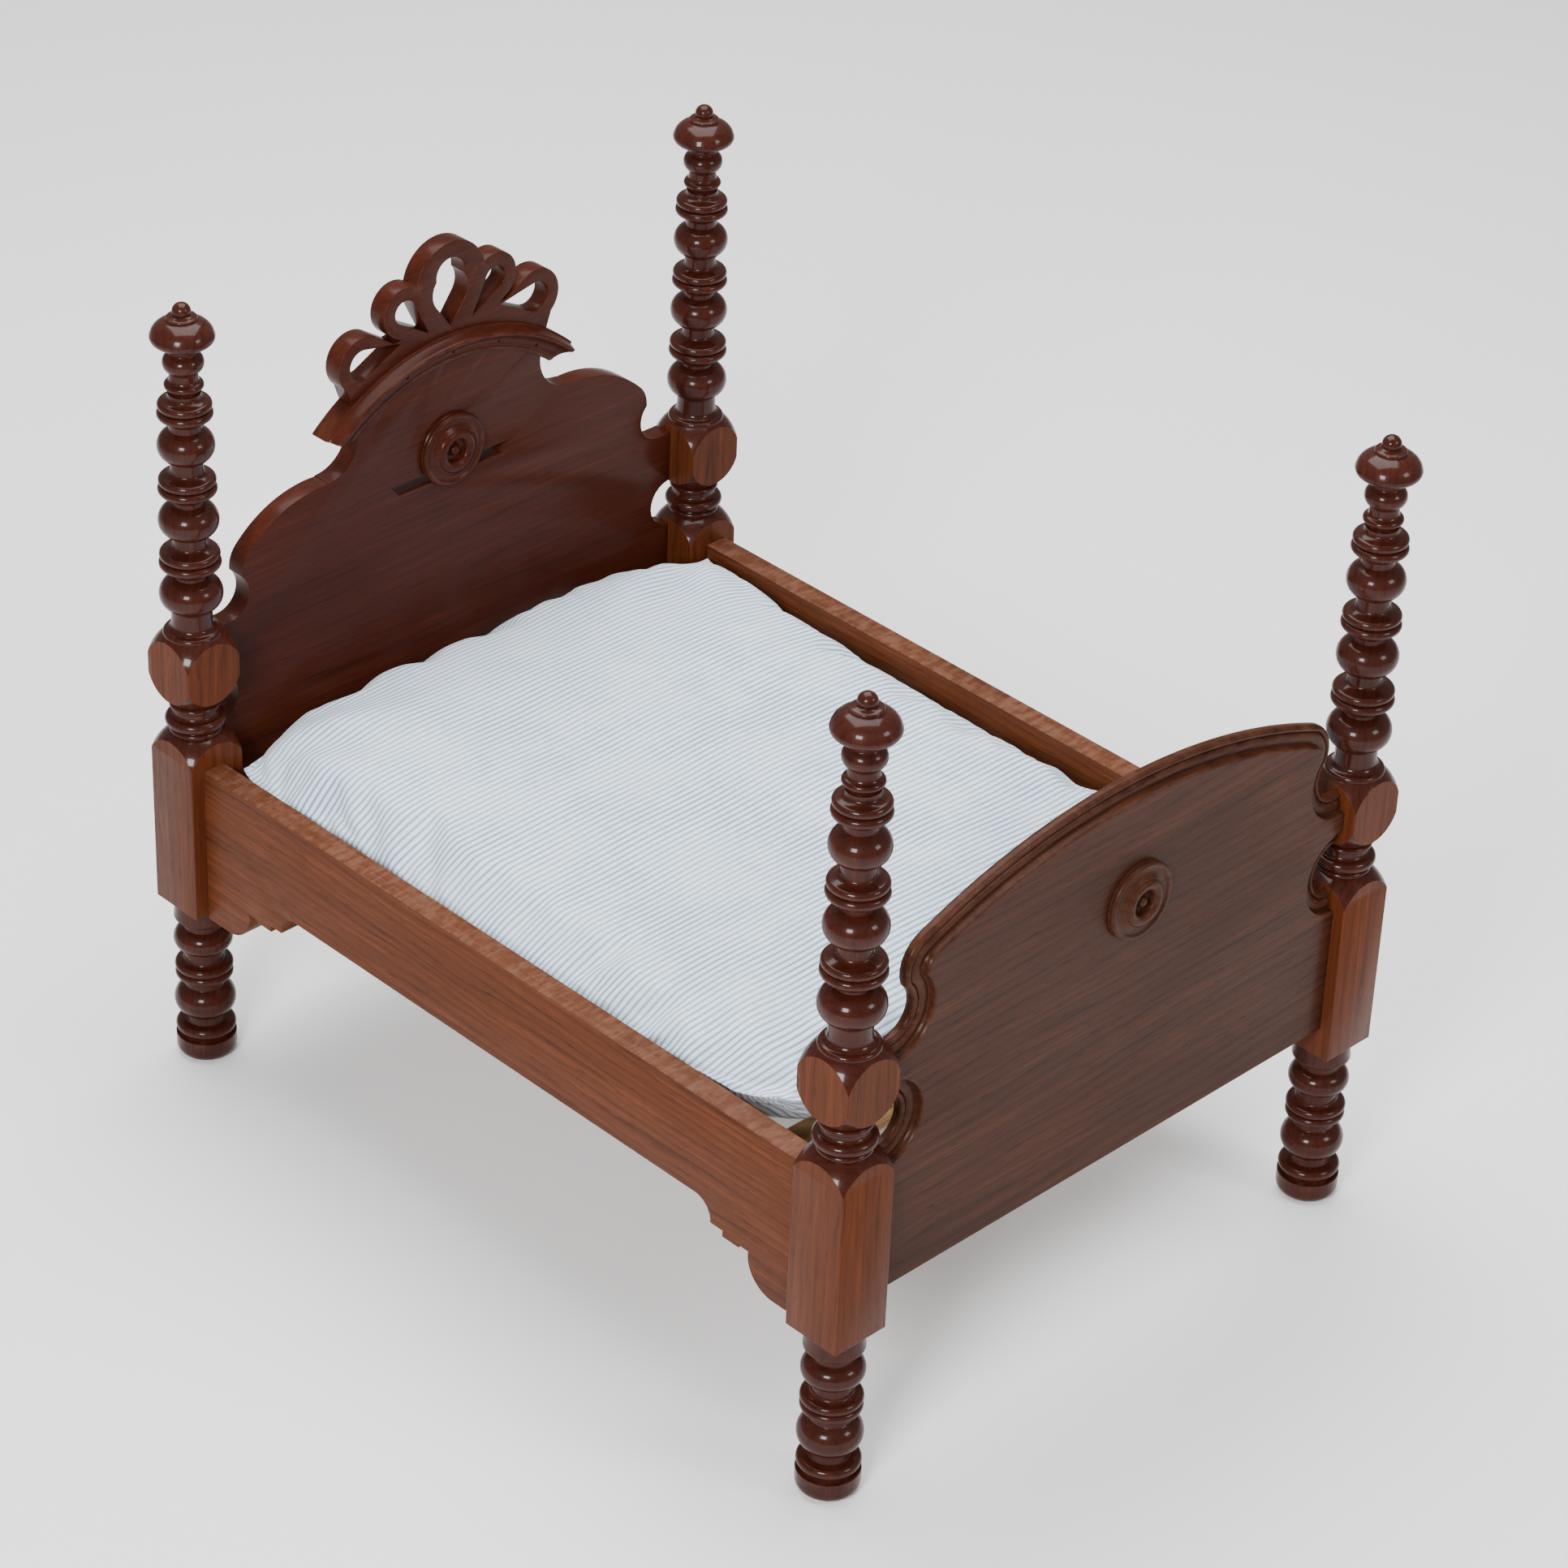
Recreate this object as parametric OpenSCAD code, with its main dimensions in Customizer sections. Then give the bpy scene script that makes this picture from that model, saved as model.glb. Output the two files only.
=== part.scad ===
// Miniature four poster bed: two turned-post ends joined by knock-down side rails,
// with a slatted base and a loose stuffed mattress. Millimetres, +Z up, head end at +Y,
// origin on the floor at the middle of the four feet.

/* [Overall] */
// Distance between the axes of the left and right posts
post_spacing_x = 499.2; // [400:0.1:600]
// Distance between the axes of the head and foot posts
post_spacing_y = 675.5; // [550:0.1:800]
// Top of the post finials above the drawing's base line
total_height = 650; // [500:1:800]
// Height of the floor above the drawing's base line
floor_line = 13; // [0:0.5:20]

/* [Posts] */
// Side of the square blocks
block_side = 47.5; // [38:0.1:60]
// Underside of the lower block
block_bottom = 152; // [120:1:180]
// Height where the corners of the lower block start to round over
block_shoulder = 279.3; // [240:0.1:300]
// Radius of the lathe-cut shoulder of the lower block
shoulder_radius = 35.6; // [34:0.1:45]
// Middle of the upper block
upper_block_z = 357; // [330:1:380]
// Lathe radius of the upper block, which leaves round faces
upper_block_radius = 34.2; // [33.7:0.1:40]
// Middle of the lowest ball of the upper spindle
ball_z = 417; // [400:1:430]
// Step from one ball to the next
ball_pitch = 60.5; // [50:0.5:70]
// Radius of the lowest ball
ball_radius = 23.3; // [18:0.1:26]
// Loss of radius from one ball to the next
ball_taper = 1.2; // [0:0.1:3]
// Height of each ball
ball_height = 27; // [18:0.5:34]
// Radius of the necks between the turned beads
neck_radius = 12; // [8:0.5:16]
// Rise from a ball to the middle of the pair of rings above it
ring_rise = 29; // [24:0.5:36]
// Height of one ring of a pair
ring_height = 7; // [4:0.5:10]
// Widest height and radius of the mushroom finial
cap_z = 624.3; // [600:0.1:640]
// Radius of the mushroom finial
cap_radius = 23.3; // [18:0.1:26]

/* [Boards] */
// Lower edge of the headboard and the footboard
board_bottom = 177; // [150:1:200]
// Thickness of the headboard
head_thickness = 16; // [10:0.5:20]
// Face of the headboard that looks down the bed
head_face_y = 341; // [325:0.5:345]
// Thickness of the footboard
foot_thickness = 13; // [10:0.5:20]
// Outer face of the footboard
foot_face_y = -352; // [-360:0.5:-340]
// Height of the round notches beside the posts
notch_z = 313.5; // [300:0.5:330]
// Radius of the round notches beside the posts
notch_radius = 20; // [10:0.5:28]
// Radius of the footboard's arch
foot_arch_radius = 500; // [400:5:700]
// Top of the footboard's arch
foot_arch_top = 484.5; // [440:0.5:520]
// Width of the moulded border of the footboard
border_width = 14; // [8:0.5:20]
// Depth of the moulded border of the footboard
border_depth = 4; // [2:0.5:8]

/* [Crest] */
// Height of the centre of the crest's arcs
crest_centre_z = 364; // [340:1:390]
// Inner radius of the crest moulding
moulding_inner = 154; // [140:0.5:170]
// Outer radius of the crest moulding
moulding_outer = 175.5; // [160:0.5:190]
// Projection of the crest moulding in front of the headboard
moulding_depth = 10; // [5:0.5:16]

/* [Rosettes] */
// Radius of the turned rosettes
rosette_radius = 30; // [20:0.5:36]
// Projection of the rosettes
rosette_depth = 9; // [4:0.5:14]
// Height of the headboard rosette
head_rosette_z = 443.5; // [420:0.5:460]
// Height of the footboard rosette
foot_rosette_z = 388; // [360:1:410]
// Sideways offset of the hand-set footboard rosette
foot_rosette_x = 8; // [-15:0.5:15]

/* [Base] */
// Outer face of the side rails from the middle of the bed
rail_face_x = 262; // [250:0.5:270]
// Thickness of the side rails
rail_thickness = 18.5; // [12:0.5:22]
// Lower edge of the side rails between their brackets
rail_low = 198; // [180:1:210]
// Height of the top of the slats
slat_top = 222; // [200:1:240]
// Width of a slat
slat_width = 36; // [20:1:50]
// Step from one slat to the next
slat_pitch = 86; // [60:1:110]
// Middle of the slat nearest the foot
first_slat_y = -243; // [-280:1:-200]
// Diameter of the rail dowels
dowel_diameter = 8; // [5:0.5:10]
// Radial clearance of the dowels in the posts
dowel_clearance = 0.05; // [0.01:0.01:0.1]

/* [Mattress] */
// Half the width of the mattress
mattress_half_width = 237.5; // [200:0.5:240]
// Foot end of the mattress
mattress_foot_y = -264; // [-330:1:-200]
// Head end of the mattress
mattress_head_y = 332; // [300:1:338]
// Top of the mattress
mattress_top = 308; // [280:1:330]

/* [Hidden] */
$fn = 96;
slop = 0.05;
cut = 1;
block_half = block_side / 2;
post_x = post_spacing_x / 2;
post_y = post_spacing_y / 2;
inner_x = post_x - block_half;
inner_y = post_y - block_half;
corner_radius = block_half * sqrt(2);
shoulder_z = block_shoulder - sqrt(pow(shoulder_radius, 2) - pow(corner_radius, 2));
leg_radius = 22.9;
// turned details: height of the middle, radius, height of the bead
collar = [[384.5, 21.6, 6], [324, 19, 4], [311, 22.5, 9], [303, 19.5, 4.5], [297, 21.5, 5]];
leg_beads = [[117, 22.4, 20], [93, 22.1, 7], [86, 22, 7], [62, 23.3, 29], [36, 22.8, 9]];
finial_ball = [603.8, 15, 16];
finial_ring = [586, 14.3, 5.5];
tenon_thickness = 7;
tenon_depth = 9;
lower_tenon = [192, 268];
upper_tenon = [347, 367];
rail_x = rail_face_x - rail_thickness / 2;
rail_inner_x = rail_face_x - rail_thickness;
rail_half_length = inner_y - 0.1;
rail_top = block_shoulder;
bracket_low = 150;
dowel_z = [175, 245];
dowel_reach = 18;
ledger_side = 14;
slat_thickness = 8;
slat_half_length = rail_inner_x - 0.5;
slat_count = 7;
screw_y = [-250, -125, 0, 125, 250];
brad_radius = 0.8;
brad_angles = [-30.5, -16, 0, 16, 30.5];
brad_reach = 12;
nail_radius = 0.7;
bump_x = 209;
bump_radius = 27;
foot_cove = [221, 397];
cove_radius = 20;
lobe_main = [124.5, 361];
lobe_main_radius = 95;
lobe_end = [176, 410];
lobe_end_radius = 24;
head_cove = [213, 394.5];
head_cove_radius = 19;
sweep = [118.5, 486.5];
sweep_radius = 30;
rebate_radius = 164;

walnut = [0.27, 0.12, 0.08];
rail_wood = [0.42, 0.23, 0.16];
pine = [0.72, 0.56, 0.38];
steel = [0.45, 0.44, 0.42];
ticking = [0.82, 0.87, 0.89];

// A full-round bead on the turning axis, as a half profile.
module bead(z, r, h) {
    translate([0, z - h / 2]) square([r - h / 2, h]);
    translate([r - h / 2, z]) circle(d = h);
}

// Half profile of everything on a post that is round.
module turning_profile() {
    // foot, leg and the cup under the block
    translate([0, floor_line + 8]) square([leg_radius, 20.5 - floor_line]);
    translate([0, floor_line]) square([leg_radius - 8, 10]);
    translate([leg_radius - 8, floor_line + 8]) circle(8);
    translate([0, floor_line]) square([15, block_bottom + cut - floor_line]);
    translate([0, 27]) square([20.6, 8]);
    for (b = leg_beads) bead(b[0], b[1], b[2]);
    translate([0, 137]) square([21, block_bottom - 137 + cut]);
    bead(138, 21, 8);
    // between the blocks and up the spindle
    translate([0, block_shoulder]) square([16, upper_block_z - block_shoulder]);
    translate([0, upper_block_z]) square([15, ball_z - upper_block_z]);
    for (b = collar) bead(b[0], b[1], b[2]);
    translate([0, ball_z]) square([neck_radius, 600 - ball_z]);
    for (i = [0 : 2]) {
        r = ball_radius - i * ball_taper;
        z = ball_z + i * ball_pitch;
        bead(z, r, ball_height - i / 2);
        bead(z + ring_rise - ring_height / 2, r - 0.6, ring_height);
        bead(z + ring_rise + ring_height / 2, r - 1.2, ring_height);
    }
    // finial
    translate([0, 580]) square([10.5, 45]);
    bead(finial_ring[0], finial_ring[1], finial_ring[2]);
    bead(finial_ball[0], finial_ball[1], finial_ball[2]);
    bead(cap_z, cap_radius, 11);
    polygon([[0, cap_z], [cap_radius - 3.2, cap_z + 4.5], [11.5, total_height - 13.5],
        [0, total_height - 13.5]]);
    bead(total_height - 12, 11.5, 3);
    translate([0, total_height - 9]) circle(9);
}

// One turned post on the origin, without its joinery.
module plain_post() {
    rotate_extrude() intersection() {
        turning_profile();
        square([cap_radius + block_half, total_height]);
    }
    intersection() {
        translate([-block_half, -block_half, block_bottom]) cube([block_side, block_side, 300]);
        rotate_extrude() {
            intersection() {
                union() {
                    translate([0, block_bottom]) square([corner_radius + cut, shoulder_z - block_bottom]);
                    translate([0, shoulder_z]) circle(shoulder_radius);
                    translate([0, upper_block_z]) circle(upper_block_radius);
                }
                translate([0, block_bottom]) square([2 * corner_radius, total_height]);
            }
        }
    }
}

// A post in place; sx and sy give the side and the end it stands at.
module post(sx, sy, board_y) {
    color(walnut) difference() {
        translate([sx * post_x, sy * post_y, 0]) plain_post();
        for (z = dowel_z) translate([sx * rail_x, sy * (inner_y - cut), z])
            rotate([-90 * sy, 0, 0])
                cylinder(r = dowel_diameter / 2 + dowel_clearance, h = dowel_reach + 2 * cut);
        for (t = [lower_tenon, upper_tenon])
            translate([sx * (inner_x + (tenon_depth - cut) / 2), board_y, (t[0] + t[1]) / 2])
                cube([tenon_depth + cut + 2 * slop, tenon_thickness + 2 * slop,
                    t[1] - t[0] + 2 * slop], center = true);
    }
}

// Extrudes a drawing in X and Z along Y, from face y to y + t.
module along_y(y, t) {
    translate([0, y + t, 0]) rotate([90, 0, 0]) linear_extrude(t) children();
}

module both_sides() {
    children();
    mirror([1, 0]) children();
}

// Stub tenons on the two sides of a board whose middle plane is at y.
module tenons(y) {
    for (s = [-1, 1], t = [lower_tenon, upper_tenon])
        translate([s * (inner_x - slop + (tenon_depth - cut) / 2 - cut / 2), y, (t[0] + t[1]) / 2])
            cube([tenon_depth + cut - 2 * slop, tenon_thickness, t[1] - t[0]], center = true);
}

// Outline of the footboard, drawn in by the given inset on its shaped edges.
module foot_outline(inset) {
    arch_z = foot_arch_top - foot_arch_radius;
    bump_centre = bump_x - bump_radius;
    bump_z = arch_z + sqrt(pow(foot_arch_radius - bump_radius, 2) - pow(bump_centre, 2));
    side = foot_cove[0] - cove_radius - 0.9 * inset;
    difference() {
        union() {
            translate([-inner_x + slop, board_bottom])
                square([2 * (inner_x - slop), foot_cove[1] - board_bottom]);
            translate([-side, foot_cove[1] - cut]) square([2 * side, bump_z - foot_cove[1] + cut]);
            intersection() {
                translate([0, arch_z]) circle(foot_arch_radius - inset, $fn = 360);
                translate([-bump_centre, bump_z - cut]) square([2 * bump_centre, foot_arch_top]);
            }
            both_sides() translate([bump_centre, bump_z]) circle(bump_radius - inset);
        }
        both_sides() {
            translate(foot_cove) circle(cove_radius + inset);
            translate([inner_x + 1, notch_z]) circle(notch_radius + inset);
        }
    }
}

module footboard_panel() {
    color(walnut) {
        along_y(foot_face_y, border_depth + cut / 2) foot_outline(border_width);
        along_y(foot_face_y + border_depth / 2, border_depth / 2 + cut / 2)
            foot_outline(border_width / 2);
        along_y(foot_face_y + border_depth, foot_thickness - border_depth) foot_outline(0);
        tenons(foot_face_y + foot_thickness / 2);
    }
}

// Outline of the headboard below its crest.
module head_outline() {
    difference() {
        union() {
            translate([-inner_x + slop, board_bottom])
                square([2 * (inner_x - slop), head_cove[1] - board_bottom]);
            both_sides() {
                translate(lobe_end) circle(lobe_end_radius);
                translate([0, head_cove[1] - cut])
                    square([lobe_end[0], lobe_end[1] - head_cove[1] + lobe_end_radius / 2]);
                intersection() {
                    translate(lobe_main) circle(lobe_main_radius, $fn = 180);
                    polygon([[0, 400], [lobe_end[0], 400], lobe_end,
                        lobe_end + 1.1 * lobe_end_radius / (lobe_main_radius - lobe_end_radius)
                            * (lobe_end - lobe_main), [lobe_end[0] + 22, 480], [0, 480]]);
                }
                translate([0, 430]) square([sweep[0], sweep[1] - 430]);
            }
            intersection() {
                translate([0, crest_centre_z]) circle(rebate_radius - slop, $fn = 180);
                translate([-moulding_inner, sweep[1] - cut])
                    square([2 * moulding_inner, moulding_inner]);
            }
        }
        both_sides() {
            translate(head_cove) circle(head_cove_radius);
            translate([head_cove[0], head_cove[1] - head_cove_radius]) square([head_cove_radius, 200]);
            translate([inner_x + 1, notch_z]) circle(notch_radius);
            translate(sweep) circle(sweep_radius);
            translate([102, sweep[1] - 8]) square([sweep_radius, 60]);
        }
    }
}

module headboard_panel() {
    color(walnut) difference() {
        union() {
            along_y(head_face_y, head_thickness) head_outline();
            tenons(head_face_y + head_thickness / 2);
        }
        brads(brad_radius + slop, slop);
    }
}

// Section of the crest moulding: radius across, projection up.
module moulding_section() {
    difference() {
        polygon([[moulding_inner, slop], [moulding_inner, 2.4], [158.5, 2.4],
            [158.5, moulding_depth], [170.5, moulding_depth], [171.5, 8], [moulding_outer - 2, 1.5],
            [moulding_outer, 0], [moulding_outer, -head_thickness],
            [rebate_radius, -head_thickness], [rebate_radius, slop]]);
        translate([159, 12.4]) circle(10);
    }
}

module crest_moulding() {
    color(walnut) difference() {
        intersection() {
            translate([0, head_face_y, crest_centre_z]) rotate([90, 0, 0])
                rotate_extrude($fn = 180) moulding_section();
            along_y(head_face_y - 2 * moulding_depth, 60)
                polygon([[-150, 500], [-94, 484], [94, 484], [150, 500], [150, 577], [-150, 577]]);
        }
        brads(brad_radius + slop, 3);
    }
}

// Round-headed brads driven square to the headboard through the cove of the moulding.
module brads(r, relief) {
    for (a = brad_angles)
        translate([161.5 * sin(a), head_face_y, crest_centre_z + 161.5 * cos(a)]) rotate([90, 0, 0]) {
            translate([0, 0, -brad_reach]) cylinder(r = r, h = brad_reach + 1.2, $fn = 24);
            translate([0, 0, 0.8]) cylinder(r = r + 0.5, h = 0.5 + relief, $fn = 24);
        }
}

module crest_brads() {
    color(steel) brads(brad_radius, 0);
}

// Round loop drawn out to a point, between faces y and y + t.
module teardrop(y, t, c, r, tip) {
    d = norm(tip - c);
    a = atan2(tip[1] - c[1], tip[0] - c[0]);
    spread = acos(r / d);
    inner = r - 0.02;
    along_y(y, t) translate(c) circle(r);
    along_y(y, t) polygon([c, c + inner * [cos(a + spread), sin(a + spread)], tip,
        c + inner * [cos(a - spread), sin(a - spread)]]);
}

module pierced_crest() {
    outer = [84, 542];
    small = [43.5, 571];
    tall = [0, 581];
    y = head_face_y;
    t = head_thickness;
    color(walnut) difference() {
        union() {
            teardrop(y, t, tall, 33.5, [0, 512]);
            for (m = [0, 1]) mirror([m, 0, 0]) {
                teardrop(y, t, small, 20.5, [8, 527]);
                teardrop(y, t, outer, 22.5, [25, 530]);
                along_y(y, t)
                    polygon([[-5, 527], [60, 505], [92, 505], [99.5, 526], [60, 548], [30, 553], [-5, 547]]);
            }
        }
        along_y(y - cut, t + 2 * cut) translate([0, crest_centre_z])
            circle(moulding_outer + slop, $fn = 180);
        teardrop(y - cut, t + 2 * cut, [0, 588], 13.5, [0, 545]);
        teardrop(y - cut, t + 2 * cut, [0, 575], 17, [0, 546]);
        for (m = [0, 1]) mirror([m, 0, 0]) {
            teardrop(y - cut, t + 2 * cut, small, 9.5, [21, 547]);
            teardrop(y - cut, t + 2 * cut, outer, 12, [48, 547]);
        }
    }
}

// Turned rosette lying in X and Y with its back at z = 0.
module rosette() {
    rotate_extrude() difference() {
        union() {
            square([rosette_radius - 3, 5]);
            translate([rosette_radius - 3, 2.5]) circle(2.5);
            translate([0, 0]) square([18, 6.5]);
            translate([13.5, rosette_depth - 4.2]) circle(4.2);
            square([13.5, rosette_depth]);
        }
        translate([22.5, 9]) circle(5.2);
        translate([-cut, 2]) square([cut + 9.8, rosette_depth]);
        translate([-50, -20]) square([50, 50]);
    }
}

// Turned button that fills the recess of a rosette.
module button() {
    translate([0, 0, 2 + slop]) cylinder(r = 5.5, h = 1.4);
    translate([0, 0, 3]) sphere(4.2);
}

// Places something on a board face that looks towards the foot.
module on_face(x, y, z) {
    translate([x, y - slop, z]) rotate([90, 0, 0]) children();
}

module half_button() {
    intersection() {
        button();
        translate([0, 0, 7 + slop + 2]) cube([20, 20, 14], center = true);
    }
}

module headboard_rosette() {
    color(walnut) on_face(0, head_face_y, head_rosette_z) rosette();
}

module headboard_button() {
    color(walnut) on_face(0, head_face_y, head_rosette_z) half_button();
}

module footboard_rosette() {
    color(walnut) on_face(foot_rosette_x, foot_face_y, foot_rosette_z) rosette();
}

module footboard_button() {
    color(walnut) on_face(foot_rosette_x, foot_face_y, foot_rosette_z) half_button();
}

// Outline of a side rail, drawn in Y and Z, with its shaped brackets.
module rail_outline() {
    end = rail_half_length;
    difference() {
        translate([-end, bracket_low]) square([2 * end, rail_top - bracket_low]);
        for (m = [0, 1]) mirror([m, 0]) {
            // middle opening, cusp and lobe of one bracket
            translate([-cut, bracket_low - cut]) square([214, rail_low - bracket_low + cut]);
            intersection() {
                translate([212, 182]) circle(16);
                translate([212, bracket_low - cut]) square([40, 60]);
            }
            translate([212, bracket_low - cut]) square([28, 182 - bracket_low]);
            difference() {
                translate([239, bracket_low - cut]) square([52, 179 - bracket_low]);
                translate([290, 175]) circle(25);
                translate([238, 176]) square([18, 12]);
            }
        }
    }
}

module rail(side) {
    color(rail_wood) difference() {
        translate([side * rail_x - rail_thickness / 2, 0, 0]) rotate([90, 0, 90])
            linear_extrude(rail_thickness) rail_outline();
        for (e = [-1, 1], z = dowel_z)
            translate([side * rail_x, e * (rail_half_length - dowel_reach - cut), z])
                rotate([-90 * e, 0, 0])
                    cylinder(r = dowel_diameter / 2 + slop / 2, h = dowel_reach + 2 * cut);
        ledger_screw_shapes(side, slop / 2);
    }
}

module ledger(side) {
    color(pine) difference() {
        translate([side * (rail_inner_x - slop - ledger_side / 2), 0,
            slat_top - slat_thickness - slop - ledger_side / 2])
            cube([ledger_side, 2 * (inner_y - 14), ledger_side], center = true);
        ledger_screw_shapes(side, slop / 2);
        slat_nail_shapes(slop / 2);
    }
}

// Countersunk screws through a ledger into its rail.
module ledger_screw_shapes(side, grow) {
    z = slat_top - slat_thickness - ledger_side / 2;
    for (y = screw_y)
        translate([side * (rail_inner_x - ledger_side - 0.1), y, z]) rotate([0, side * 90, 0]) {
            cylinder(r = 1.5 + grow, h = 25, $fn = 24);
            cylinder(r1 = 3.1 + grow, r2 = 1.5 + grow, h = 2.2, $fn = 24);
        }
}

module ledger_screws() {
    color(steel) for (side = [-1, 1]) ledger_screw_shapes(side, 0);
}

module slat(index) {
    y = first_slat_y + (index - 1) * slat_pitch;
    color(pine) difference() {
        translate([0, y, slat_top - slat_thickness / 2])
            cube([2 * slat_half_length, slat_width, slat_thickness], center = true);
        slat_nail_shapes(slop / 2);
    }
}

// One nail at each end of each slat.
module slat_nail_shapes(grow) {
    for (i = [0 : slat_count - 1], side = [-1, 1])
        translate([side * (rail_inner_x - ledger_side / 2), first_slat_y + i * slat_pitch,
            slat_top - 16.5]) {
            cylinder(r = nail_radius + grow, h = 16, $fn = 24);
            translate([0, 0, 15.2]) cylinder(r = 1.7 + grow, h = 1.3 + 2 * grow, $fn = 24);
        }
}

module slat_nails() {
    color(steel) slat_nail_shapes(0);
}

// Wooden dowels that key one end of both rails into the posts.
module dowels(e) {
    color(pine) for (side = [-1, 1], z = dowel_z)
        translate([side * rail_x, e * (rail_half_length - dowel_reach), z]) rotate([-90 * e, 0, 0])
            cylinder(d = dowel_diameter, h = 2 * dowel_reach);
}

// The mattress as one closed block with eased corners.
module mattress() {
    w = mattress_half_width;
    y0 = mattress_foot_y;
    y1 = mattress_head_y;
    corner = 45;
    color(ticking) translate([0, 0, slat_top + 0.3]) linear_extrude(mattress_top - slat_top - 0.3)
        polygon([[-w + corner, y0], [w - corner, y0], [w, y0 + corner], [w, y1 - 40],
            [w - 27, y1], [-w + 27, y1], [-w, y1 - 40], [-w, y0 + corner]]);
}

// Moves a drawn piece so that the feet stand on z = 0.
module standing() {
    translate([0, 0, -floor_line]) children();
}

head_board_y = head_face_y + head_thickness / 2;
foot_board_y = foot_face_y + foot_thickness / 2;

standing() post(-1, 1, head_board_y);  // post_head_left
standing() post(1, 1, head_board_y);  // post_head_right
standing() post(-1, -1, foot_board_y);  // post_foot_left
standing() post(1, -1, foot_board_y);  // post_foot_right
standing() headboard_panel();
standing() crest_moulding();
standing() pierced_crest();
standing() crest_brads();
standing() headboard_rosette();
standing() headboard_button();
standing() footboard_panel();
standing() footboard_rosette();
standing() footboard_button();
standing() rail(-1);  // rail_left
standing() rail(1);  // rail_right
standing() ledger(-1);  // ledger_left
standing() ledger(1);  // ledger_right
standing() ledger_screws();
standing() slat(1);  // slat_1
standing() slat(2);  // slat_2
standing() slat(3);  // slat_3
standing() slat(4);  // slat_4
standing() slat(5);  // slat_5
standing() slat(6);  // slat_6
standing() slat(7);  // slat_7
standing() slat_nails();
standing() dowels(1);  // dowels_head
standing() dowels(-1);  // dowels_foot
standing() mattress();
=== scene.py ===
"""Miniature four poster bed in walnut: turned posts, shaped boards, slatted base and ticking mattress."""

import logging
import math
from collections.abc import Callable, Iterator
from contextlib import contextmanager
from dataclasses import dataclass, field, replace
from enum import Enum

import bmesh
import bpy
import numpy as np
from mathutils import Matrix, Vector


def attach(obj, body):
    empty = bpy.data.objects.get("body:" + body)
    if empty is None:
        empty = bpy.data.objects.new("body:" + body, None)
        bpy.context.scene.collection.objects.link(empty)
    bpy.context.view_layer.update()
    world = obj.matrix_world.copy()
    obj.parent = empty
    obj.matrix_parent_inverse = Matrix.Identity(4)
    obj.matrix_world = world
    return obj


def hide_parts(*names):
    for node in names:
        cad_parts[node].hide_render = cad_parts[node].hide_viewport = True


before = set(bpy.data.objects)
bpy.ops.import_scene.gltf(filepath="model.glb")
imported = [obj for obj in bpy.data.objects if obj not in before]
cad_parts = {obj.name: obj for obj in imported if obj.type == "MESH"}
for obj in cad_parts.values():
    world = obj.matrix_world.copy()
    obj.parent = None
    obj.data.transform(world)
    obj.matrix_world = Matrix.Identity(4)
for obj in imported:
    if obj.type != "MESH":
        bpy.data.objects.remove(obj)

LOG = logging.getLogger("bed")
MM = 0.001
# The pieces are drawn from a base line this far below the floor.
FLOOR_LINE = 13.0 * MM
# Centre lines of the posts in millimetres.
POST_X = 249.6
POST_Y = 337.75
# How far from them, in millimetres, the stain begins to thin and is thinnest on a block's faces.
FLATS_FROM = 23.35
FLATS_FULL = 23.7
Colour = tuple[float, float, float]
Place = tuple[float, float, float]
Profile = list[tuple[float, float]]
GridIndex = dict[tuple[int, int, int], int]
Socket = bpy.types.NodeSocket


# ---------------------------------------------------------------- workshop


class Pick(Enum):
    """What edit mode selects by."""

    POINTS = "VERT"
    EDGES = "EDGE"
    FACES = "FACE"


class Facing(Enum):
    """The axis a turned piece is spun about."""

    UPRIGHT = (0.0, 0.0, 1.0)
    OUTWARD = (0.0, 1.0, 0.0)


def clear_selection() -> None:
    """Leaves edit mode and deselects every object."""
    if bpy.context.mode != "OBJECT":
        bpy.ops.object.mode_set(mode="OBJECT")
    bpy.ops.object.select_all(action="DESELECT")


def take(piece: bpy.types.Object) -> None:
    """Makes one piece the only selected and active one.

    Args:
        piece: The piece to work on.
    """
    clear_selection()
    piece.select_set(True)
    bpy.context.view_layer.objects.active = piece


@contextmanager
def editing(piece: bpy.types.Object, pick: Pick = Pick.POINTS) -> Iterator[None]:
    """Opens a piece in edit mode for the length of a block.

    Args:
        piece: The piece to edit.
        pick: What is selected by.
    """
    take(piece)
    bpy.ops.object.mode_set(mode="EDIT")
    bpy.ops.mesh.select_mode(type=pick.value)
    yield
    bpy.ops.object.mode_set(mode="OBJECT")


def pick_faces(piece: bpy.types.Object, wanted: Callable[[Vector, Vector], bool]) -> None:
    """Selects the faces of a piece in edit mode by their middle and normal.

    Args:
        piece: The piece that is open in edit mode.
        wanted: Says whether a face with this middle and normal is selected.
    """
    shell = bmesh.from_edit_mesh(piece.data)
    for face in shell.faces:
        face.select_set(False)
    for face in shell.faces:
        if wanted(face.calc_center_median(), face.normal):
            face.select_set(True)
    bmesh.update_edit_mesh(piece.data)


def settle(piece: bpy.types.Object) -> None:
    """Puts a piece's place into its mesh, so that its object is at the origin.

    Args:
        piece: The piece to settle.
    """
    take(piece)
    bpy.ops.object.transform_apply(location=True, rotation=True, scale=True)


def close_up(piece: bpy.types.Object, gap: float = 0.002 * MM) -> None:
    """Merges doubled points and turns every face outwards.

    Args:
        piece: The piece to clean.
        gap: Points nearer than this become one.
    """
    with editing(piece):
        bpy.ops.mesh.select_all(action="SELECT")
        bpy.ops.mesh.remove_doubles(threshold=gap)
        bpy.ops.mesh.normals_make_consistent(inside=False)


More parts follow.
